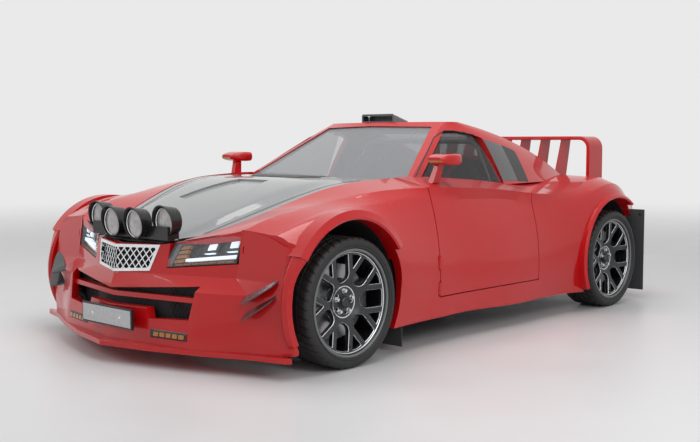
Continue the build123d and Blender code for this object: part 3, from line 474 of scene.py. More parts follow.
def buildTyre(name):
    centre, side = wheelSpot(name)
    shape = Shape()
    rows = []
    pitches = tyreLook["pitches"]
    for k in range(pitches):
        for part, cut in ((0.0, 0), (0.03, 1), (0.17, 1), (0.20, 0), (0.6, 0)):
            row = []
            for along, radius, share in tyreProfile():
                middle = 0 if abs(along) < 17 else 1
                turn = 2 * pi * (k + part + (0.5 if along < 0 else 0)) / pitches + abs(along) * 0.0011
                reach = radius - tyreLook["slotDepth"] * cut * share * middle
                row.append(centre + Vector((side * along, cos(turn) * reach, sin(turn) * reach)) / 1000)
            rows.append(row)
    shape.grid(rows, closeRows=True)
    obj = shape.make("tyre." + name, [tyreRubber], name + "_wheel", "tyre", 28)
    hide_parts("tyre_" + name)


hubLook = {"capRadius": 31, "lugCircle": 56, "lugs": 5, "lugRadius": 10.5, "faceAlong": 52.5}


def buildHub(name):
    centre, side = wheelSpot(name)
    axis = (side, 0, 0)
    face = hubLook["faceAlong"] / 1000
    shape = Shape()
    r = hubLook["capRadius"] / 1000
    shape.lathe(centre, axis, [(face - 0.001, r + 0.006), (face + 0.004, r + 0.005), (face + 0.005, r),
                               (face + 0.016, r - 0.002), (face + 0.020, r - 0.006),
                               (face + 0.021, r - 0.012), (face + 0.018, r - 0.014), (face + 0.0175, 0.0001)],
                               40, 0)
    for k in range(hubLook["lugs"]):
        turn = 2 * pi * k / hubLook["lugs"] + pi / 2
        spot = centre + Vector((0, cos(turn), sin(turn))) * hubLook["lugCircle"] / 1000
        lug = hubLook["lugRadius"] / 1000
        shape.lathe(spot, axis, [(face - 0.001, lug * 1.25), (face + 0.003, lug * 1.2), (face + 0.003, lug)],
                    24, 1)
        shape.lathe(spot, axis, [(face + 0.003, lug), (face + 0.015, lug * 0.96), (face + 0.017, lug * 0.8),
                                 (face + 0.017, 0.0001)], 6, 1)
    valve = centre + Vector((side * 0.075, 0.0, -0.226))
    shape.tube([valve, valve + Vector((side * 0.018, 0, 0.006)), valve + Vector((side * 0.03, 0, 0.01))],
               0.0036, 10, 0)
    shape.make("hub." + name, [gunMetal, machinedEdge], name + "_wheel", "rim", 40)
    lip = Shape()
    lip.lathe(centre, axis, [(0.1, 0.2545), (0.1118, 0.2555), (0.1138, 0.2575), (0.1138, 0.2655),
                             (0.1126, 0.2685)], 96)
    lip.make("rimLip." + name, [satinGrey], name + "_wheel", "rim", 60)


brakeLook = {"discRadius": 186, "discInner": 112, "thick": 28, "along": -4, "vents": 36, "caliperFrom": 150,
             "caliperTo": 212}


def buildBrake(name):
    centre, side = wheelSpot(name)
    axis = Vector((side, 0, 0))
    shape = Shape()
    outer, inner = brakeLook["discRadius"] / 1000, brakeLook["discInner"] / 1000
    half, mid = brakeLook["thick"] / 2000, brakeLook["along"] / 1000
    for low, high in ((-half, -half + 0.008), (half - 0.008, half)):
        shape.lathe(centre, axis, [(mid + low, inner), (mid + low, outer), (mid + high, outer),
                                   (mid + high, inner), (mid + low, inner)], 72, 0)
    for k in range(brakeLook["vents"]):
        turn = 2 * pi * k / brakeLook["vents"]
        ray = Vector((0, cos(turn), sin(turn)))
        wide = Vector((0, -sin(turn), cos(turn))) * 0.002
        flat = [ray * (inner + 0.004) - wide, ray * (outer - 0.003) - wide, ray * (outer - 0.003) + wide,
                ray * (inner + 0.004) + wide]
        shape.block([centre + axis * (mid - half + 0.007) + p for p in flat]
                    + [centre + axis * (mid + half - 0.007) + p for p in flat], 0)
    shape.lathe(centre, axis, [(mid - half, inner + 0.004), (mid + half, inner + 0.004), (mid + 0.04, 0.09),
                               (mid + 0.042, 0.079), (mid - half, 0.079)], 48, 1)
    shape.make("disc." + name, [brushedPipe, castSteel], name + "_wheel", "steel", 40)
    caliper = Shape()
    rows = []
    for k in range(13):
        turn = radians(brakeLook["caliperFrom"] + (brakeLook["caliperTo"] - brakeLook["caliperFrom"]) * k / 12)
        ray = Vector((0, -cos(turn), sin(turn)))
        swell = 0.006 * (k in (3, 4, 8, 9))
        section = [(-0.046, 0.124), (-0.050 - swell, 0.150), (-0.046, 0.186), (-0.030, 0.203), (0.018, 0.203),
                   (0.034 + swell, 0.186), (0.038 + swell, 0.150), (0.032, 0.124), (0.0145, 0.122),
                   (0.0145, 0.190), (-0.0235, 0.190), (-0.0235, 0.122)]
        rows.append([centre + axis * a + ray * r for a, r in section])
    caliper.grid(rows, closeCols=True)
    width = len(rows[0])
    caliper.put(rows[0], [tuple(range(width))])
    caliper.put(rows[-1], [tuple(range(width))])
    body = ("left_knuckle" if side > 0 else "right_knuckle") if name.startswith("front") else "car_body"
    soften(caliper.make("caliper." + name, [castSteel], body, "steel"), 0.003)


for wheelName in wheelNames:
    buildTyre(wheelName)
    buildHub(wheelName)
    buildBrake(wheelName)
print("wheels built")

headlampLook = {
    "corners": [(287, -566, 485), (681, -415, 523), (341, -519, 612), (713, -384, 682)], "depth": 52,
    "bricks": [(0.135 + 0.115 * k, 0.235 + 0.115 * k, 0.03, 0.13) for k in range(7)]
    + [(0.105, 0.24, 0.17 + 0.17 * k, 0.30 + 0.17 * k) for k in range(4)],
    "bar": (0.27, 0.95, 0.20, 0.30), "cubes": [(0.52, 0.62), (0.82, 0.92)], "cubeRows": (0.54, 0.74)}


def buildHeadlamp(side):
    corners = [at(*p) for p in headlampLook["corners"]]
    rise = (corners[2] - corners[0]).normalized()
    run = (corners[1] - corners[0]).normalized()
    out = run.cross(rise).normalized()
    if out.y > 0:
        out = -out

    def spot(u, v, sink):
        bulge = 0.012 * (1 - (2 * u - 1) ** 2) * (1 - (2 * v - 1) ** 2)
        return blendPoint(corners, u, v) + out * (bulge - sink / 1000)

    def slab(shape, u0, u1, v0, v1, top, bottom, mat):
        low = [spot(u, v, bottom) for u, v in ((u0, v0), (u1, v0), (u1, v1), (u0, v1))]
        high = [spot(u, v, top) for u, v in ((u0, v0), (u1, v0), (u1, v1), (u0, v1))]
        shape.block(low + high, mat)

    depth = headlampLook["depth"]
    house = Shape()
    edge = [(u / 16, 0) for u in range(17)] + [(1, v / 8) for v in range(1, 9)]
    edge += [(1 - u / 16, 1) for u in range(1, 17)] + [(0, 1 - v / 8) for v in range(1, 8)]
    inset = [(0.025 + 0.95 * u, 0.045 + 0.91 * v) for u, v in edge]
    rows = [[spot(u, v, depth + 8) for u, v in edge], [spot(u, v, 2) for u, v in edge],
            [spot(u, v, 0) for u, v in [(0.008 + 0.984 * u, 0.015 + 0.97 * v) for u, v in edge]],
            [spot(u, v, 2) for u, v in inset], [spot(u, v, depth) for u, v in inset]]
    house.grid(rows, closeCols=True, mat=0)
    house.grid([[spot(u / 6, v / 4, depth) for u in range(7)] for v in range(5)], mat=0)
    house.grid([[spot(u / 6, v / 4, depth + 8) for u in range(7)] for v in range(5)], mat=0)
    slab(house, 0.03, 0.1, 0.05, 0.95, 12, depth - 1, 1)
    slab(house, 0.1, 0.26, 0.84, 0.95, 14, depth - 1, 1)
    for u0, u1, v0, v1 in headlampLook["bricks"]:
        slab(house, u0, u1, v0, v1, 20, depth - 1, 2)
    slab(house, *headlampLook["bar"], 16, depth - 1, 3)
    v0, v1 = headlampLook["cubeRows"]
    for u0, u1 in headlampLook["cubes"]:
        slab(house, u0 - 0.09, u1 + 0.035, v0 - 0.09, v1 + 0.11, 34, depth - 1, 4)
        slab(house, u0, u1, v0, v1, 24, 35, 3)
        slab(house, u0 - 0.02, u1, v1 + 0.125, v1 + 0.15, 22, depth - 1, 3)
        slab(house, u0 - 0.02, u1, v0 - 0.13, v0 - 0.105, 22, depth - 1, 3)
    lens = Shape()
    lens.grid([[spot(0.015 + 0.97 * u / 20, 0.03 + 0.94 * v / 10, 1.5) for u in range(21)]
               for v in range(11)])
    if side < 0:
        house.flip()
        lens.flip()
    name = sideNames[side]
    obj = house.make("headlampBox." + name, [blackTrim, satinGrey, amberLight, coolLight, gunMetal],
                     "car_body", "lamp")
    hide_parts("headlamp_" + name)
    lens.make("headlampLens." + name, [lensGlass], "car_body", "glass")


podLook = {"spots": [(288, -561, 715), (100, -606, 700)], "radius": 77, "flutes": 11}


def buildPodLens(side, index):
    x, y, z = podLook["spots"][index]
    centre = at(side * x, y, z)
    shape = Shape()
    radius = podLook["radius"] / 1000
    axis = Vector((0, -1, 0))
    shape.lathe(centre, axis, [(-0.0255, radius + 0.0004), (-0.016, radius + 0.0004),
                               (-0.014, radius - 0.002), (-0.016, radius - 0.005), (-0.023, radius - 0.006)],
                               64, 0)
    rows = []
    inner = radius - 0.006
    for k in range(41):
        rows.append([])
        for j in range(111):
            across, up = 2 * j / 110 - 1, 2 * k / 40 - 1
            px = across * (1 - up * up / 2) ** 0.5
            pz = up * (1 - across * across / 2) ** 0.5
            flute = 0.0034 * abs(sin(pi * podLook["flutes"] * (px + 1) / 2)) * (1 if abs(px) < 0.62 else 0.25)
            dome = 0.007 * (1 - px * px - pz * pz) + flute
            rows[-1].append(centre + Vector((px * inner, 0.0235 - dome, pz * inner)))
    shape.grid(rows, mat=1)
    shape.lathe(centre, axis, [(-0.0155, radius - 0.0045), (-0.0135, radius - 0.006),
                               (-0.016, radius - 0.0085)], 64, 2)
    shape.make(f"podLens.{sideNames[side]}{index}", [blackTrim, podGlass, brightChrome], "bonnet_lid", "lamp",
               60)


for carSide in (1, -1):
    buildHeadlamp(carSide)
    for podIndex in range(2):
        buildPodLens(carSide, podIndex)
print("lamps built")

noseLook = {"backing": (226, 424), "grilleDepth": 40, "plateSize": (440, 104), "plateFoot": 178,
            "amberRow": (284, 516)}


def buildNose():
    back = Shape()
    low, high = noseLook["backing"]
    plan = [(-560, -440), (-535, -478), (-280, -552), (0, -596), (280, -552), (535, -478), (560, -440)]
    back.grid([[at(x, y, z) for x, y in plan] for z in (low, high)], mat=0)
    sink = noseLook["grilleDepth"]
    plan = [(-280, -545 + sink), (0, -640 + sink), (280, -545 + sink)]
    back.grid([[at(x, y, z) for x, y in plan] for z in (446, 600)], mat=0)
    back.make("noseBacking", [blackMatt], "car_body", "black_trim")
    mesh = Shape()
    for k in range(-18, 19):
        for lean in (-1, 1):
            x = k * 24 + lean * 12
            line = [(x + lean * step * 12, 246 + step * 24) for step in range(-1, 7)]
            mesh.tube([at(px, -588 + abs(px) * 0.15, pz) for px, pz in line], 0.0016, 6)
    mesh.make("intakeMesh", [blackTrim], "car_body", "black_trim")
    wide, tall = (v / 2 for v in noseLook["plateSize"])
    foot = noseLook["plateFoot"]
    y = -706
    plate = Shape()
    plate.brick(at(-wide, y, foot), at(wide, y + 14, foot + 2 * tall), 0)
    plate.brick(at(-wide + 9, y - 2.5, foot + 9), at(wide - 9, y + 2, foot + 2 * tall - 9), 1)
    plate.brick(at(-wide + 60, y + 14, foot + 20), at(wide - 60, y + 32, foot + 2 * tall - 20), 0)
    for x in (-120, 120):
        plate.lathe(at(x, y - 2.5, foot + tall), (0, -1, 0), [(0, 0.006), (0.002, 0.005), (0.003, 0.0001)],
                    16, 2)
    obj = plate.make("plateHolder", [blackTrim, plateFace, brightChrome], "car_body", "black_trim")
    soften(obj, 0.002)


def buildLowLamp(side):
    shape = Shape()
    start, end = noseLook["amberRow"]
    rows = []
    for z in (146, 150, 182, 186):
        row = []
        for k in range(9):
            place = faceOn("front_bumper", start + (end - start) * k / 8, z, 3.0 if 148 < z < 184 else 0.2)
            row.append(place)
        rows.append(row)
    shape.grid(rows, mat=0)
    for k in range(5):
        x = start + 26 + k * (end - start - 30) / 5
        corners = [faceOn("front_bumper", px, pz, 3.2)
                   for px, pz in ((x, 156), (x + 30, 156), (x + 30, 176), (x, 176))]
        raised = [p + Vector((0, -0.006, 0)) for p in corners]
        shape.block(corners + raised, 1)
    if side < 0:
        shape.flip()
    shape.make("lowLamp." + sideNames[side], [blackTrim, amberLight], "car_body", "lamp")


archLook = {"from": 146, "to": 207, "inner": 394, "outer": 424, "reach": 1050, "flareReach": 1086,
            "centre": 345}


def buildArchLip(side):  # the flare's lip carried down the bumper's edge
    shape = Shape()
    rows = []
    for k in range(25):
        turn = radians(archLook["from"] + (archLook["to"] - archLook["from"]) * k / 24)
        fade = max(0, 1 - k / 9) ** 2
        reach = archLook["reach"] + (archLook["flareReach"] - archLook["reach"]) * fade
        row = []
        for x, radius in ((1000, archLook["inner"]), (reach - 3, archLook["inner"]),
                          (reach, archLook["inner"] + 6), (reach - 10, archLook["outer"]),
                          (1016, archLook["outer"] + 10), (1000, archLook["outer"])):
            row.append(at(x, cos(turn) * radius, archLook["centre"] + sin(turn) * radius))
        rows.append(row)
    shape.grid(rows, closeCols=True)
    for row in (rows[0], rows[-1]):
        shape.put(row, [tuple(range(len(row)))])
    if side < 0:
        shape.flip()
    soften(shape.make("archLip." + sideNames[side], [redPaint], "car_body", "paint"), 0.002)


canardLook = {"fins": [((782, 368), (952, 458)), ((788, 290), (956, 386))], "reach": 92, "thick": 13}


def buildCanards(side):  # two swept fins that rise rearwards off the bumper's corner
    shape = Shape()
    for (x0, z0), (x1, z1) in canardLook["fins"]:
        rows = []
        for k in range(17):
            part = k / 16
            root = faceOn("front_bumper", x0 + (x1 - x0) * part, z0 + (z1 - z0) * part, -4)
            if root is None:
                continue
            span = canardLook["reach"] / 1000 * min(1, part * 7) * (1 - part) ** 0.55
            out = Vector((0.30, -0.88, -0.36)).normalized()
            thick = Vector((0, 0, canardLook["thick"] / 1000))
            tip = root + out * (span + 0.004)
            rows.append([root, tip, tip + thick * 0.5, root + thick])
        shape.grid(rows, closeCols=True)
        for row in (rows[0], rows[-1]):
            shape.put(row, [(0, 1, 2, 3)])
    if side < 0:
        shape.flip()
    obj = shape.make("canards." + sideNames[side], [darkCarbon], "car_body", "carbon")
    soften(obj, 0.0012)
    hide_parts("canard_" + sideNames[side])


buildNose()
for carSide in (1, -1):
    buildLowLamp(carSide)
    buildArchLip(carSide)
    buildCanards(carSide)
print("nose built")

bonnetLook = {
    "gutter": [(404, -470), (450, -300), (520, -60), (585, 180), (630, 420), (648, 560)],
    "ventRows": (455, 590), "ventHalf": 300}


def buildBonnetTrim():
    vent = Shape()
    y0, y1 = bonnetLook["ventRows"]
    rows = []
    for j in range(7):
        y = y0 + (y1 - y0) * j / 6
        half = bonnetLook["ventHalf"] * (0.72 + 0.28 * j / 6)
        rows.append([dropOn("bonnet", -half + 2 * half * k / 24, y, 1.2) for k in range(25)])
    vent.grid(rows, mat=0)
    for j in range(6):
        y = y0 + 14 + (y1 - y0 - 24) * j / 6
        half = bonnetLook["ventHalf"] * (0.70 + 0.28 * j / 6)
        line = [dropOn("bonnet", -half + 2 * half * k / 24, y, 0.5) for k in range(25)]
        rear = [p + Vector((0, 0.012, 0.009)) for p in line]
        vent.grid([line, rear, [p + Vector((0, 0.003, 0.0)) for p in rear],
                   [p + Vector((0, 0.004, 0)) for p in line]], mat=1)
    vent.make("bonnetVent", [blackMatt, darkCarbon], "bonnet_lid", "black_trim")


def buildGutter(side):
    shape = Shape()
    left, right = [], []
    points = bonnetLook["gutter"]
    for (x0, y0), (x1, y1) in zip(points, points[1:]):
        for k in range(6):
            x, y = x0 + (x1 - x0) * k / 6, y0 + (y1 - y0) * k / 6
            a, b = dropOn("bonnet", x - 34, y, 1.0), dropOn("bonnet", x - 14, y, 1.0)
            if a and b:
                left.append(a)
                right.append(b)
    shape.grid([left, right])
    if side < 0:
        shape.flip()
    shape.make("bonnetGutter." + sideNames[side], [darkCarbon], "bonnet_lid", "carbon")


buildBonnetTrim()
for carSide in (1, -1):
    buildGutter(carSide)
print("bonnet trim built")

sideLook = {
    "quarter": [(1708, 868, 1130), (1760, 867, 1120), (1800, 866, 1112), (1840, 865, 1103),
                (1891, 864, 1090)],
    "pillar": [(1891, 862, 1090), (1930, 860, 1082), (1975, 858, 1070), (2030, 854, 1052)],
    "mirror": (888, 1010, 1013), "mirrorHalf": (70, 24)}


def gridBorder(rows):  # the outer points of a grid, once round
    ends = [row[-1] for row in rows[1:]], [row[0] for row in rows[-2:0:-1]]
    return rows[0] + ends[0] + rows[-1][-2::-1] + ends[1]


def buildQuarter(side):
    name = sideNames[side]
    # the quarter window is an opaque glossy black panel: its gloss is the glass, its black is painted shade of
    # the cabin behind; the pillar band is real black trim
    for label, columns, mat, lift in (("quarterGlassShade", sideLook["quarter"], blackGlassAndShade, 1.4),
                                      ("pillarBand", sideLook["pillar"], satinBlack, 2.0)):
        shape = Shape()
        rows = []
        for k in range(9):
            row = []
            for y, low, high in columns:
                row.append(pressOn("cabin_shell", side, y, low + (high - low) * k / 8, lift))
            if None not in row:
                rows.append(row)
        shape.grid(rows)
        inner = [[p - Vector((side * 0.003, 0, 0)) for p in row] for row in rows]
        shape.grid([gridBorder(rows), gridBorder(inner)], closeCols=True)
        shape.make(f"{label}.{name}", [mat], "car_body", "black_trim")


def buildMirrorTrim(side):
    name = sideNames[side]
    x, y, z = sideLook["mirror"]
    wide, tall = sideLook["mirrorHalf"]
    glass = Shape()
    ring = []
    for k in range(48):
        turn = 2 * pi * k / 48
        px = wide * abs(cos(turn)) ** 0.5 * (1 if cos(turn) > 0 else -1)
        pz = tall * abs(sin(turn)) ** 0.6 * (1 if sin(turn) > 0 else -1)
        ring.append((px, pz))
    glass.grid([[at(x + px * s, y + d, z + pz * s) for px, pz in ring]
                for s, d in ((1.05, -0.5), (1.05, 3), (0.97, 3.2), (0.95, 1.6), (0.5, 1.5), (0.001, 1.5))],
                closeCols=True)
    strip = Shape()
    rows = []
    for pz in (998, 1003, 1008):
        row = [faceOn("door_left", x - 38 + 92 * k / 12, pz, 1.6) for k in range(13)]
        rows.append([p for p in row if p])
    if min(len(r) for r in rows) == max(len(r) for r in rows):
        strip.grid(rows)
        strip.grid([rows[0], [p + Vector((0, 0.004, 0)) for p in rows[0]]])
        strip.grid([rows[-1], [p + Vector((0, 0.004, 0)) for p in rows[-1]]])
    for shape, label, mat, slotName in ((glass, "mirrorGlass", brightChrome, "bright"),
                                        (strip, "mirrorLamp", amberLight, "lamp")):
        if side < 0:
            shape.flip()
        if shape.verts:
            shape.make(f"{label}.{name}", [mat], name + "_door", slotName, 40)


def buildWindowTrim(side):  # a black bead round the door's window opening
    points = [(890, 868), (1000, 940), (1150, 1036), (1300, 1130), (1405, 1172), (1480, 1172), (1560, 1168)]
    points += [(1640, 1148), (1700, 1128)]
    line = [pressOn("cabin_shell", side, y - 8 if z < 1160 and y < 1400 else y, z + 8, 0) for y, z in points]
    line = [p for p in line if p]
    shape = Shape()
    shape.tube(line, 0.0045, 8)
    edge = [pressOn("cabin_shell", side, y - 1 if z < 1160 and y < 1400 else y, z + 1, 1.2)
            for y, z in points]
    outer = [p + Vector((side * 0.0012, 0, 0)) for p in line]
    if None not in edge and len(edge) == len(outer):
        shape.grid([outer, edge])
    shape.make("windowBead." + sideNames[side], [blackTrim], "car_body", "black_trim")


def buildWipers():
    shape = Shape()
    for pivot, tip in (((-70, 772), (-560, 800)), ((420, 778), (-30, 806))):
        blade = []
        for k in range(15):
            x = pivot[0] + (tip[0] - pivot[0]) * k / 14
            y = pivot[1] + (tip[1] - pivot[1]) * k / 14
            place = dropOn("windscreen", x, y, 0)
            if place:
                blade.append(place + Vector((0, -0.004, 0.008)))
        if len(blade) > 4:
            shape.tube(blade, 0.005, 8, 0)
            shape.tube([p + Vector((0, -0.004, 0.009)) for p in blade[3:-3]], 0.0035, 8, 0)
            root = blade[0] + Vector((0.03, -0.035, -0.012))
            shape.tube([root, blade[0] + Vector((0, -0.008, 0.012)), blade[5] + Vector((0, -0.004, 0.013))],
                       0.006, 10, 0)
            shape.lathe(root, (0, -0.3, 1), [(-0.01, 0.016), (0.008, 0.016), (0.014, 0.012), (0.015, 0.0001)],
                        20, 0)
    shape.make("wipers", [blackTrim], "car_body", "black_trim")


def buildScoopMesh():
    low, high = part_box("roof_scoop")
    shape = Shape()
    half = 0.124
    y = low.y + 0.02
    for k in range(13):
        x = -half + 2 * half * k / 12
        shape.tube([Vector((x, y, low.z + 0.010)), Vector((x, y, high.z - 0.015))], 0.0013, 6)
    for k in range(4):
        z = low.z + 0.014 + k * (high.z - low.z - 0.033) / 3
        shape.tube([Vector((-half, y, z)), Vector((half, y, z))], 0.0013, 6)
    shape.make("scoopMesh", [blackMatt], "car_body", "black_trim")


boltProfile = [(0, 0.012), (0.002, 0.012), (0.003, 0.008), (0.006, 0.007), (0.007, 0.0001)]


def buildFlapBolts(side):
    shape = Shape()
    for node, count in (("front_flap_", 4), ("rear_flap_", 5)):
        low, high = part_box(node + "left")
        for k in range(count):
            x = low.x + 0.03 + (high.x - low.x - 0.06) * k / (count - 1)
            for y, facing in ((high.y, 1), (low.y, -1)):
                shape.lathe(Vector((x, y, high.z - 0.03)), (0, facing, 0), boltProfile, 12)
    if side < 0:
        shape.flip()
    shape.make("flapBolts." + sideNames[side], [castSteel], "car_body", "steel")


for carSide in (1, -1):
    buildQuarter(carSide)
    buildMirrorTrim(carSide)
    buildWindowTrim(carSide)
    buildFlapBolts(carSide)
buildWipers()
buildScoopMesh()
print("sides built")

tailLook = {"lamps": [(640, 640, 62), (500, 640, 48)], "plate": (260, 470), "fins": (-330, -165, 0, 165, 330)}


def buildTail():
    for side in (1, -1):
        shape = Shape()
        for x, z, radius in tailLook["lamps"]:
            place = faceOn("tail_panel", side * x, z, 0.5, True)
            if place is None:
                continue
            r = radius / 1000
            shape.lathe(place, (0, 1, 0), [(-0.004, r + 0.008), (0.006, r + 0.008), (0.009, r + 0.004),
                                           (0.006, r)], 48, 0)
            shape.lathe(place, (0, 1, 0), [(0.006, r), (0.008, r * 0.9), (0.0075, r * 0.72), (0.010, r * 0.6),
                                           (0.012, r * 0.3), (0.012, 0.0001)], 48, 1)
        shape.make("tailLamps." + sideNames[side], [blackTrim, redLens], "car_body", "lamp")
    plate = Shape()
    half, z = tailLook["plate"]
    place = faceOn("tail_panel", 0, z, 1, True)
    if place:
        plate.brick(place + Vector((-half / 1000, -0.01, -0.055)),
                    place + Vector((half / 1000, 0.006, 0.055)), 0)
        plate.brick(place + Vector((-half / 1000 + 0.009, -0.004, -0.046)),
                    place + Vector((half / 1000 - 0.009, 0.008, 0.046)), 1)
        soften(plate.make("rearPlate", [blackTrim, plateFace], "car_body", "black_trim"), 0.002)
    fins = Shape()
    for x in tailLook["fins"]:
        outline = [(2780, 196), (3092, 186), (3112, 214), (3060, 300), (2800, 260)]
        low = [at(x - 4, y, z) for y, z in outline]
        high = [at(x + 4, y, z) for y, z in outline]
        count = len(outline)
        fins.put(low + high, [tuple(range(count)), tuple(range(2 * count - 1, count - 1, -1))]
                 + [(k, (k + 1) % count, count + (k + 1) % count, count + k) for k in range(count)])
    fins.grid([[at(x, y, z) for x in (-380, 0, 380)] for y, z in ((2740, 262), (2900, 272), (3075, 304))])
    fins.grid([[at(x, y, z + 4) for x in (-380, 0, 380)] for y, z in ((2740, 262), (2900, 272), (3075, 304))])
    soften(fins.make("diffuser", [blackMatt], "car_body", "black_trim"), 0.0012)


buildTail()
print("tail built")

cabinLook = {"seatX": 365, "cushionHalf": 160, "beltWidth": 50, "steps": 16}


def cushionMesh(name, rows, thick):  # closed pad from a grid of points, skin on both faces
    shape = Shape()
    lift = [[p + n * thick for p, n in row] for row in rows]
    base = [[p for p, n in row] for row in rows]
    shape.grid(lift)
    shape.grid([list(reversed(row)) for row in base])
    shape.grid([gridBorder(lift), gridBorder(base)], closeCols=True)
    mesh = bpy.data.meshes.new(name)
    mesh.from_pydata([tuple(v) for v in shape.verts], [], shape.faces)
    work = bmesh.new()
    work.from_mesh(mesh)
    bmesh.ops.remove_doubles(work, verts=work.verts, dist=0.00002)
    bmesh.ops.recalc_face_normals(work, faces=work.faces)
    work.to_mesh(mesh)
    work.free()
    return mesh


def puffUp(obj, cap):  # cloth under pressure swells the pad, within a limit
    bpy.context.view_layer.objects.active = obj
    obj.data.remesh_voxel_size = 0.008
    obj.data.remesh_voxel_adaptivity = 0
    with bpy.context.temp_override(active_object=obj, object=obj, selected_objects=[obj]):
        bpy.ops.object.voxel_remesh()
    rest = [v.co.copy() for v in obj.data.vertices]
    cloth = obj.modifiers.new("swell", "CLOTH")
    cloth.settings.use_pressure = True
    cloth.settings.uniform_pressure_force = 4
    cloth.settings.effector_weights.gravity = 0
    cloth.point_cache.frame_end = cabinLook["steps"]
    scene = bpy.context.scene
    for step in range(1, cabinLook["steps"] + 1):
        scene.frame_set(step)
    shaped = obj.evaluated_get(bpy.context.evaluated_depsgraph_get()).to_mesh()
    moved = [v.co.copy() for v in shaped.vertices]
    obj.modifiers.remove(cloth)
    scene.frame_set(1)
    for vert, was, now in zip(obj.data.vertices, rest, moved):
        shift = now - was
        if shift.length > cap:
            shift = shift.normalized() * cap
        vert.co = was + shift
    for face in obj.data.polygons:
        face.use_smooth = True
    obj.data.materials.clear()
    obj.data.materials.append(seatCloth)
    rounded = obj.modifiers.new("rounded", "SUBSURF")
    rounded.levels = rounded.render_levels = 1


def buildCushions():
    half = cabinLook["cushionHalf"]
    pads = {
        "seatPad": ([(1130, 352), (1230, 345), (1330, 336), (1440, 345)], 0.040, Vector((0, 0.1, 1))),
        "backPad": ([(1512, 470), (1538, 590), (1562, 700), (1582, 800)], 0.036, Vector((0, -1, 0.2)))}
    for label, (line, thick, out) in pads.items():
        rows = []
        for y, z in line:
            row = []
            for k in range(7):
                across = 2 * k / 6 - 1
                row.append((at(cabinLook["seatX"] + across * half, y, z), out.normalized()))
            rows.append(row)
        mesh = cushionMesh(label, rows, thick)
        obj = bpy.data.objects.new(label + ".left", mesh)
        bpy.context.collection.objects.link(obj)
        puffUp(obj, 0.012)
        twin = obj.copy()
        twin.data = obj.data.copy()
        twin.name = label + ".right"
        bpy.context.collection.objects.link(twin)
        twin.data.transform(Matrix.Scale(-1, 4, (1, 0, 0)))
        twin.data.flip_normals()
        for pad in (obj, twin):
            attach(pad, "car_body")


def buildBelts(side):
    shape = Shape()
    half = cabinLook["beltWidth"] / 2
    for offset in (-85, 85):
        path = [(offset * 0.8, 1790, 940), (offset * 0.8, 1700, 1000), (offset, 1560, 905),
                (offset, 1530, 780), (offset * 0.9, 1498, 620), (offset * 0.5, 1478, 500),
                (offset * 0.2, 1440, 440)]
        rows = []
        for x, y, z in path:
            rows.append([at(cabinLook["seatX"] + x - half, y - 8, z),
                         at(cabinLook["seatX"] + x + half, y - 8, z)])
        shape.grid(rows, mat=0)
        shape.grid([[p + Vector((0, -0.0025, 0.001)) for p in row] for row in rows], mat=0)
    buckle = at(cabinLook["seatX"], 1428, 436)
    shape.lathe(buckle, (0, -0.8, 0.6), [(-0.008, 0.03), (0.006, 0.03), (0.010, 0.026), (0.011, 0.0001)], 24,
                1)
    if side < 0:
        shape.flip()
    shape.make("belts." + sideNames[side], [beltRed, satinGrey], "car_body", "cloth")


def buildDash():
    shape = Shape()
    shape.block([at(x, y, z) for x, y, z in ((235, 985, 812), (495, 985, 812), (495, 935, 812),
                                             (235, 935, 812), (255, 990, 860), (475, 990, 860),
                                             (465, 940, 866), (265, 940, 866))], 0)
    shape.block([at(x, y, z) for x, y, z in ((258, 991, 818), (472, 991, 818), (472, 986, 818),
                                             (258, 986, 818), (270, 994, 853), (460, 994, 853),
                                             (460, 988, 853), (270, 988, 853))], 1)
    for k in range(8):
        x = -110 + 30 * k
        shape.lathe(at(x, 1012, 720), (0, 1, 0.12),
                    [(-0.006, 0.009), (0.004, 0.008), (0.006, 0.006), (0.006, 0.0001)], 12, 2)
    soften(shape.make("dashCluster", [dashSkin, blackGlassAndShade, satinGrey], "car_body", "dash"), 0.003)


buildCushions()
for carSide in (1, -1):
    buildBelts(carSide)
buildDash()
print("cabin fitted")

stageLook = {"floorColour": (0.80, 0.80, 0.81), "floorSize": 60, "fade": (2.5, 14), "backdrop": 0.82,
             "worldLight": 0.32}
cameraLook = {"place": (4.371, -4.80, 1.112), "yaw": 42.95, "pitch": 4.5, "lens": 51.70}
softboxes = [  # place, target, width, height, watts
    {"place": (0.5, -0.3, 5.2), "target": (0, 0, 0), "width": 3.2, "height": 5.5, "watts": 150},
    {"place": (5.5, -2.0, 3.2), "target": (0.6, -0.2, 0.6), "width": 3.0, "height": 2.0, "watts": 80},
    {"place": (-4.5, -5.0, 3.6), "target": (0, -0.8, 0.5), "width": 3.0, "height": 2.4, "watts": 90},
]


def seenRays(tree):  # one for what the camera sees, straight on, in a gloss or through glass
    path = tree.nodes.new("ShaderNodeLightPath").outputs
    seen = mathNode(tree, "MAXIMUM", path["Is Camera Ray"], path["Is Transmission Ray"])
    return mathNode(tree, "MAXIMUM", seen, path["Is Glossy Ray"])


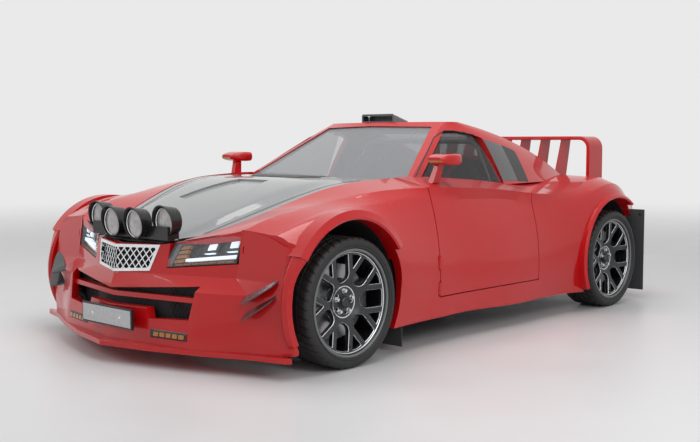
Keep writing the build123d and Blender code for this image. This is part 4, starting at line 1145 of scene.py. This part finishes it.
def buildStage():
    mesh = bpy.data.meshes.new("floor")
    half = stageLook["floorSize"] / 2
    mesh.from_pydata([(-half, -half, 0), (half, -half, 0), (half, half, 0), (-half, half, 0)], [],
                     [(0, 1, 2, 3)])
    floor = bpy.data.objects.new("floor", mesh)
    bpy.context.collection.objects.link(floor)
    mat, tree, shader = newMaterial("paleFloor")
    grain = placeGroup(tree, grainGroup, scale=2.0, low=0.35, high=0.45)
    tree.links.new(grain.outputs["value"], shader.inputs["Roughness"])
    setInputs(shader, {"Base Color": (*stageLook["floorColour"], 1)})
    coords = tree.nodes.new("ShaderNodeTexCoord")
    away = tree.nodes.new("ShaderNodeVectorMath")
    away.operation = "LENGTH"
    tree.links.new(coords.outputs["Object"], away.inputs[0])
    fade = tree.nodes.new("ShaderNodeMapRange")  # the far floor runs into the pale backdrop
    fade.interpolation_type = "SMOOTHSTEP"
    tree.links.new(away.outputs["Value"], fade.inputs["Value"])
    fade.inputs["From Min"].default_value, fade.inputs["From Max"].default_value = stageLook["fade"]
    seen = seenRays(tree)
    glow = tree.nodes.new("ShaderNodeEmission")
    glow.inputs["Strength"].default_value = stageLook["backdrop"]
    mix = tree.nodes.new("ShaderNodeMixShader")
    tree.links.new(mathNode(tree, "MULTIPLY", fade.outputs["Result"], seen), mix.inputs["Fac"])
    tree.links.new(shader.outputs["BSDF"], mix.inputs[1])
    tree.links.new(glow.outputs["Emission"], mix.inputs[2])
    tree.links.new(mix.outputs["Shader"], tree.nodes["Material Output"].inputs["Surface"])
    mesh.materials.append(mat)
    world = bpy.data.worlds.new("studio")
    world.use_nodes = True
    tree = world.node_tree
    background = tree.nodes["Background"]
    background.inputs["Color"].default_value = (1, 1, 1, 1)
    seen = seenRays(tree)
    spread = tree.nodes.new("ShaderNodeMapRange")
    tree.links.new(seen, spread.inputs["Value"])
    spread.inputs["To Min"].default_value = stageLook["worldLight"]
    spread.inputs["To Max"].default_value = stageLook["backdrop"]
    tree.links.new(spread.outputs["Result"], background.inputs["Strength"])
    bpy.context.scene.world = world
    for index, lamp in enumerate(softboxes):
        data = bpy.data.lights.new(f"softbox{index}", "AREA")
        data.shape = "RECTANGLE"
        data.size, data.size_y, data.energy = lamp["width"], lamp["height"], lamp["watts"]
        light = bpy.data.objects.new(f"softbox{index}", data)
        light.location = lamp["place"]
        aim = Vector(lamp["target"]) - Vector(lamp["place"])
        light.rotation_euler = aim.to_track_quat("-Z", "Y").to_euler()
        bpy.context.collection.objects.link(light)


def buildCamera():
    data = bpy.data.cameras.new("photoCamera")
    data.lens, data.sensor_width = cameraLook["lens"], 36
    camera = bpy.data.objects.new("photoCamera", data)
    camera.location = cameraLook["place"]
    camera.rotation_euler = (radians(90 - cameraLook["pitch"]), 0, radians(cameraLook["yaw"]))
    bpy.context.collection.objects.link(camera)
    bpy.context.scene.camera = camera


buildStage()
buildCamera()
bpy.context.scene.view_settings.view_transform = "Standard"
print("stage and camera set")
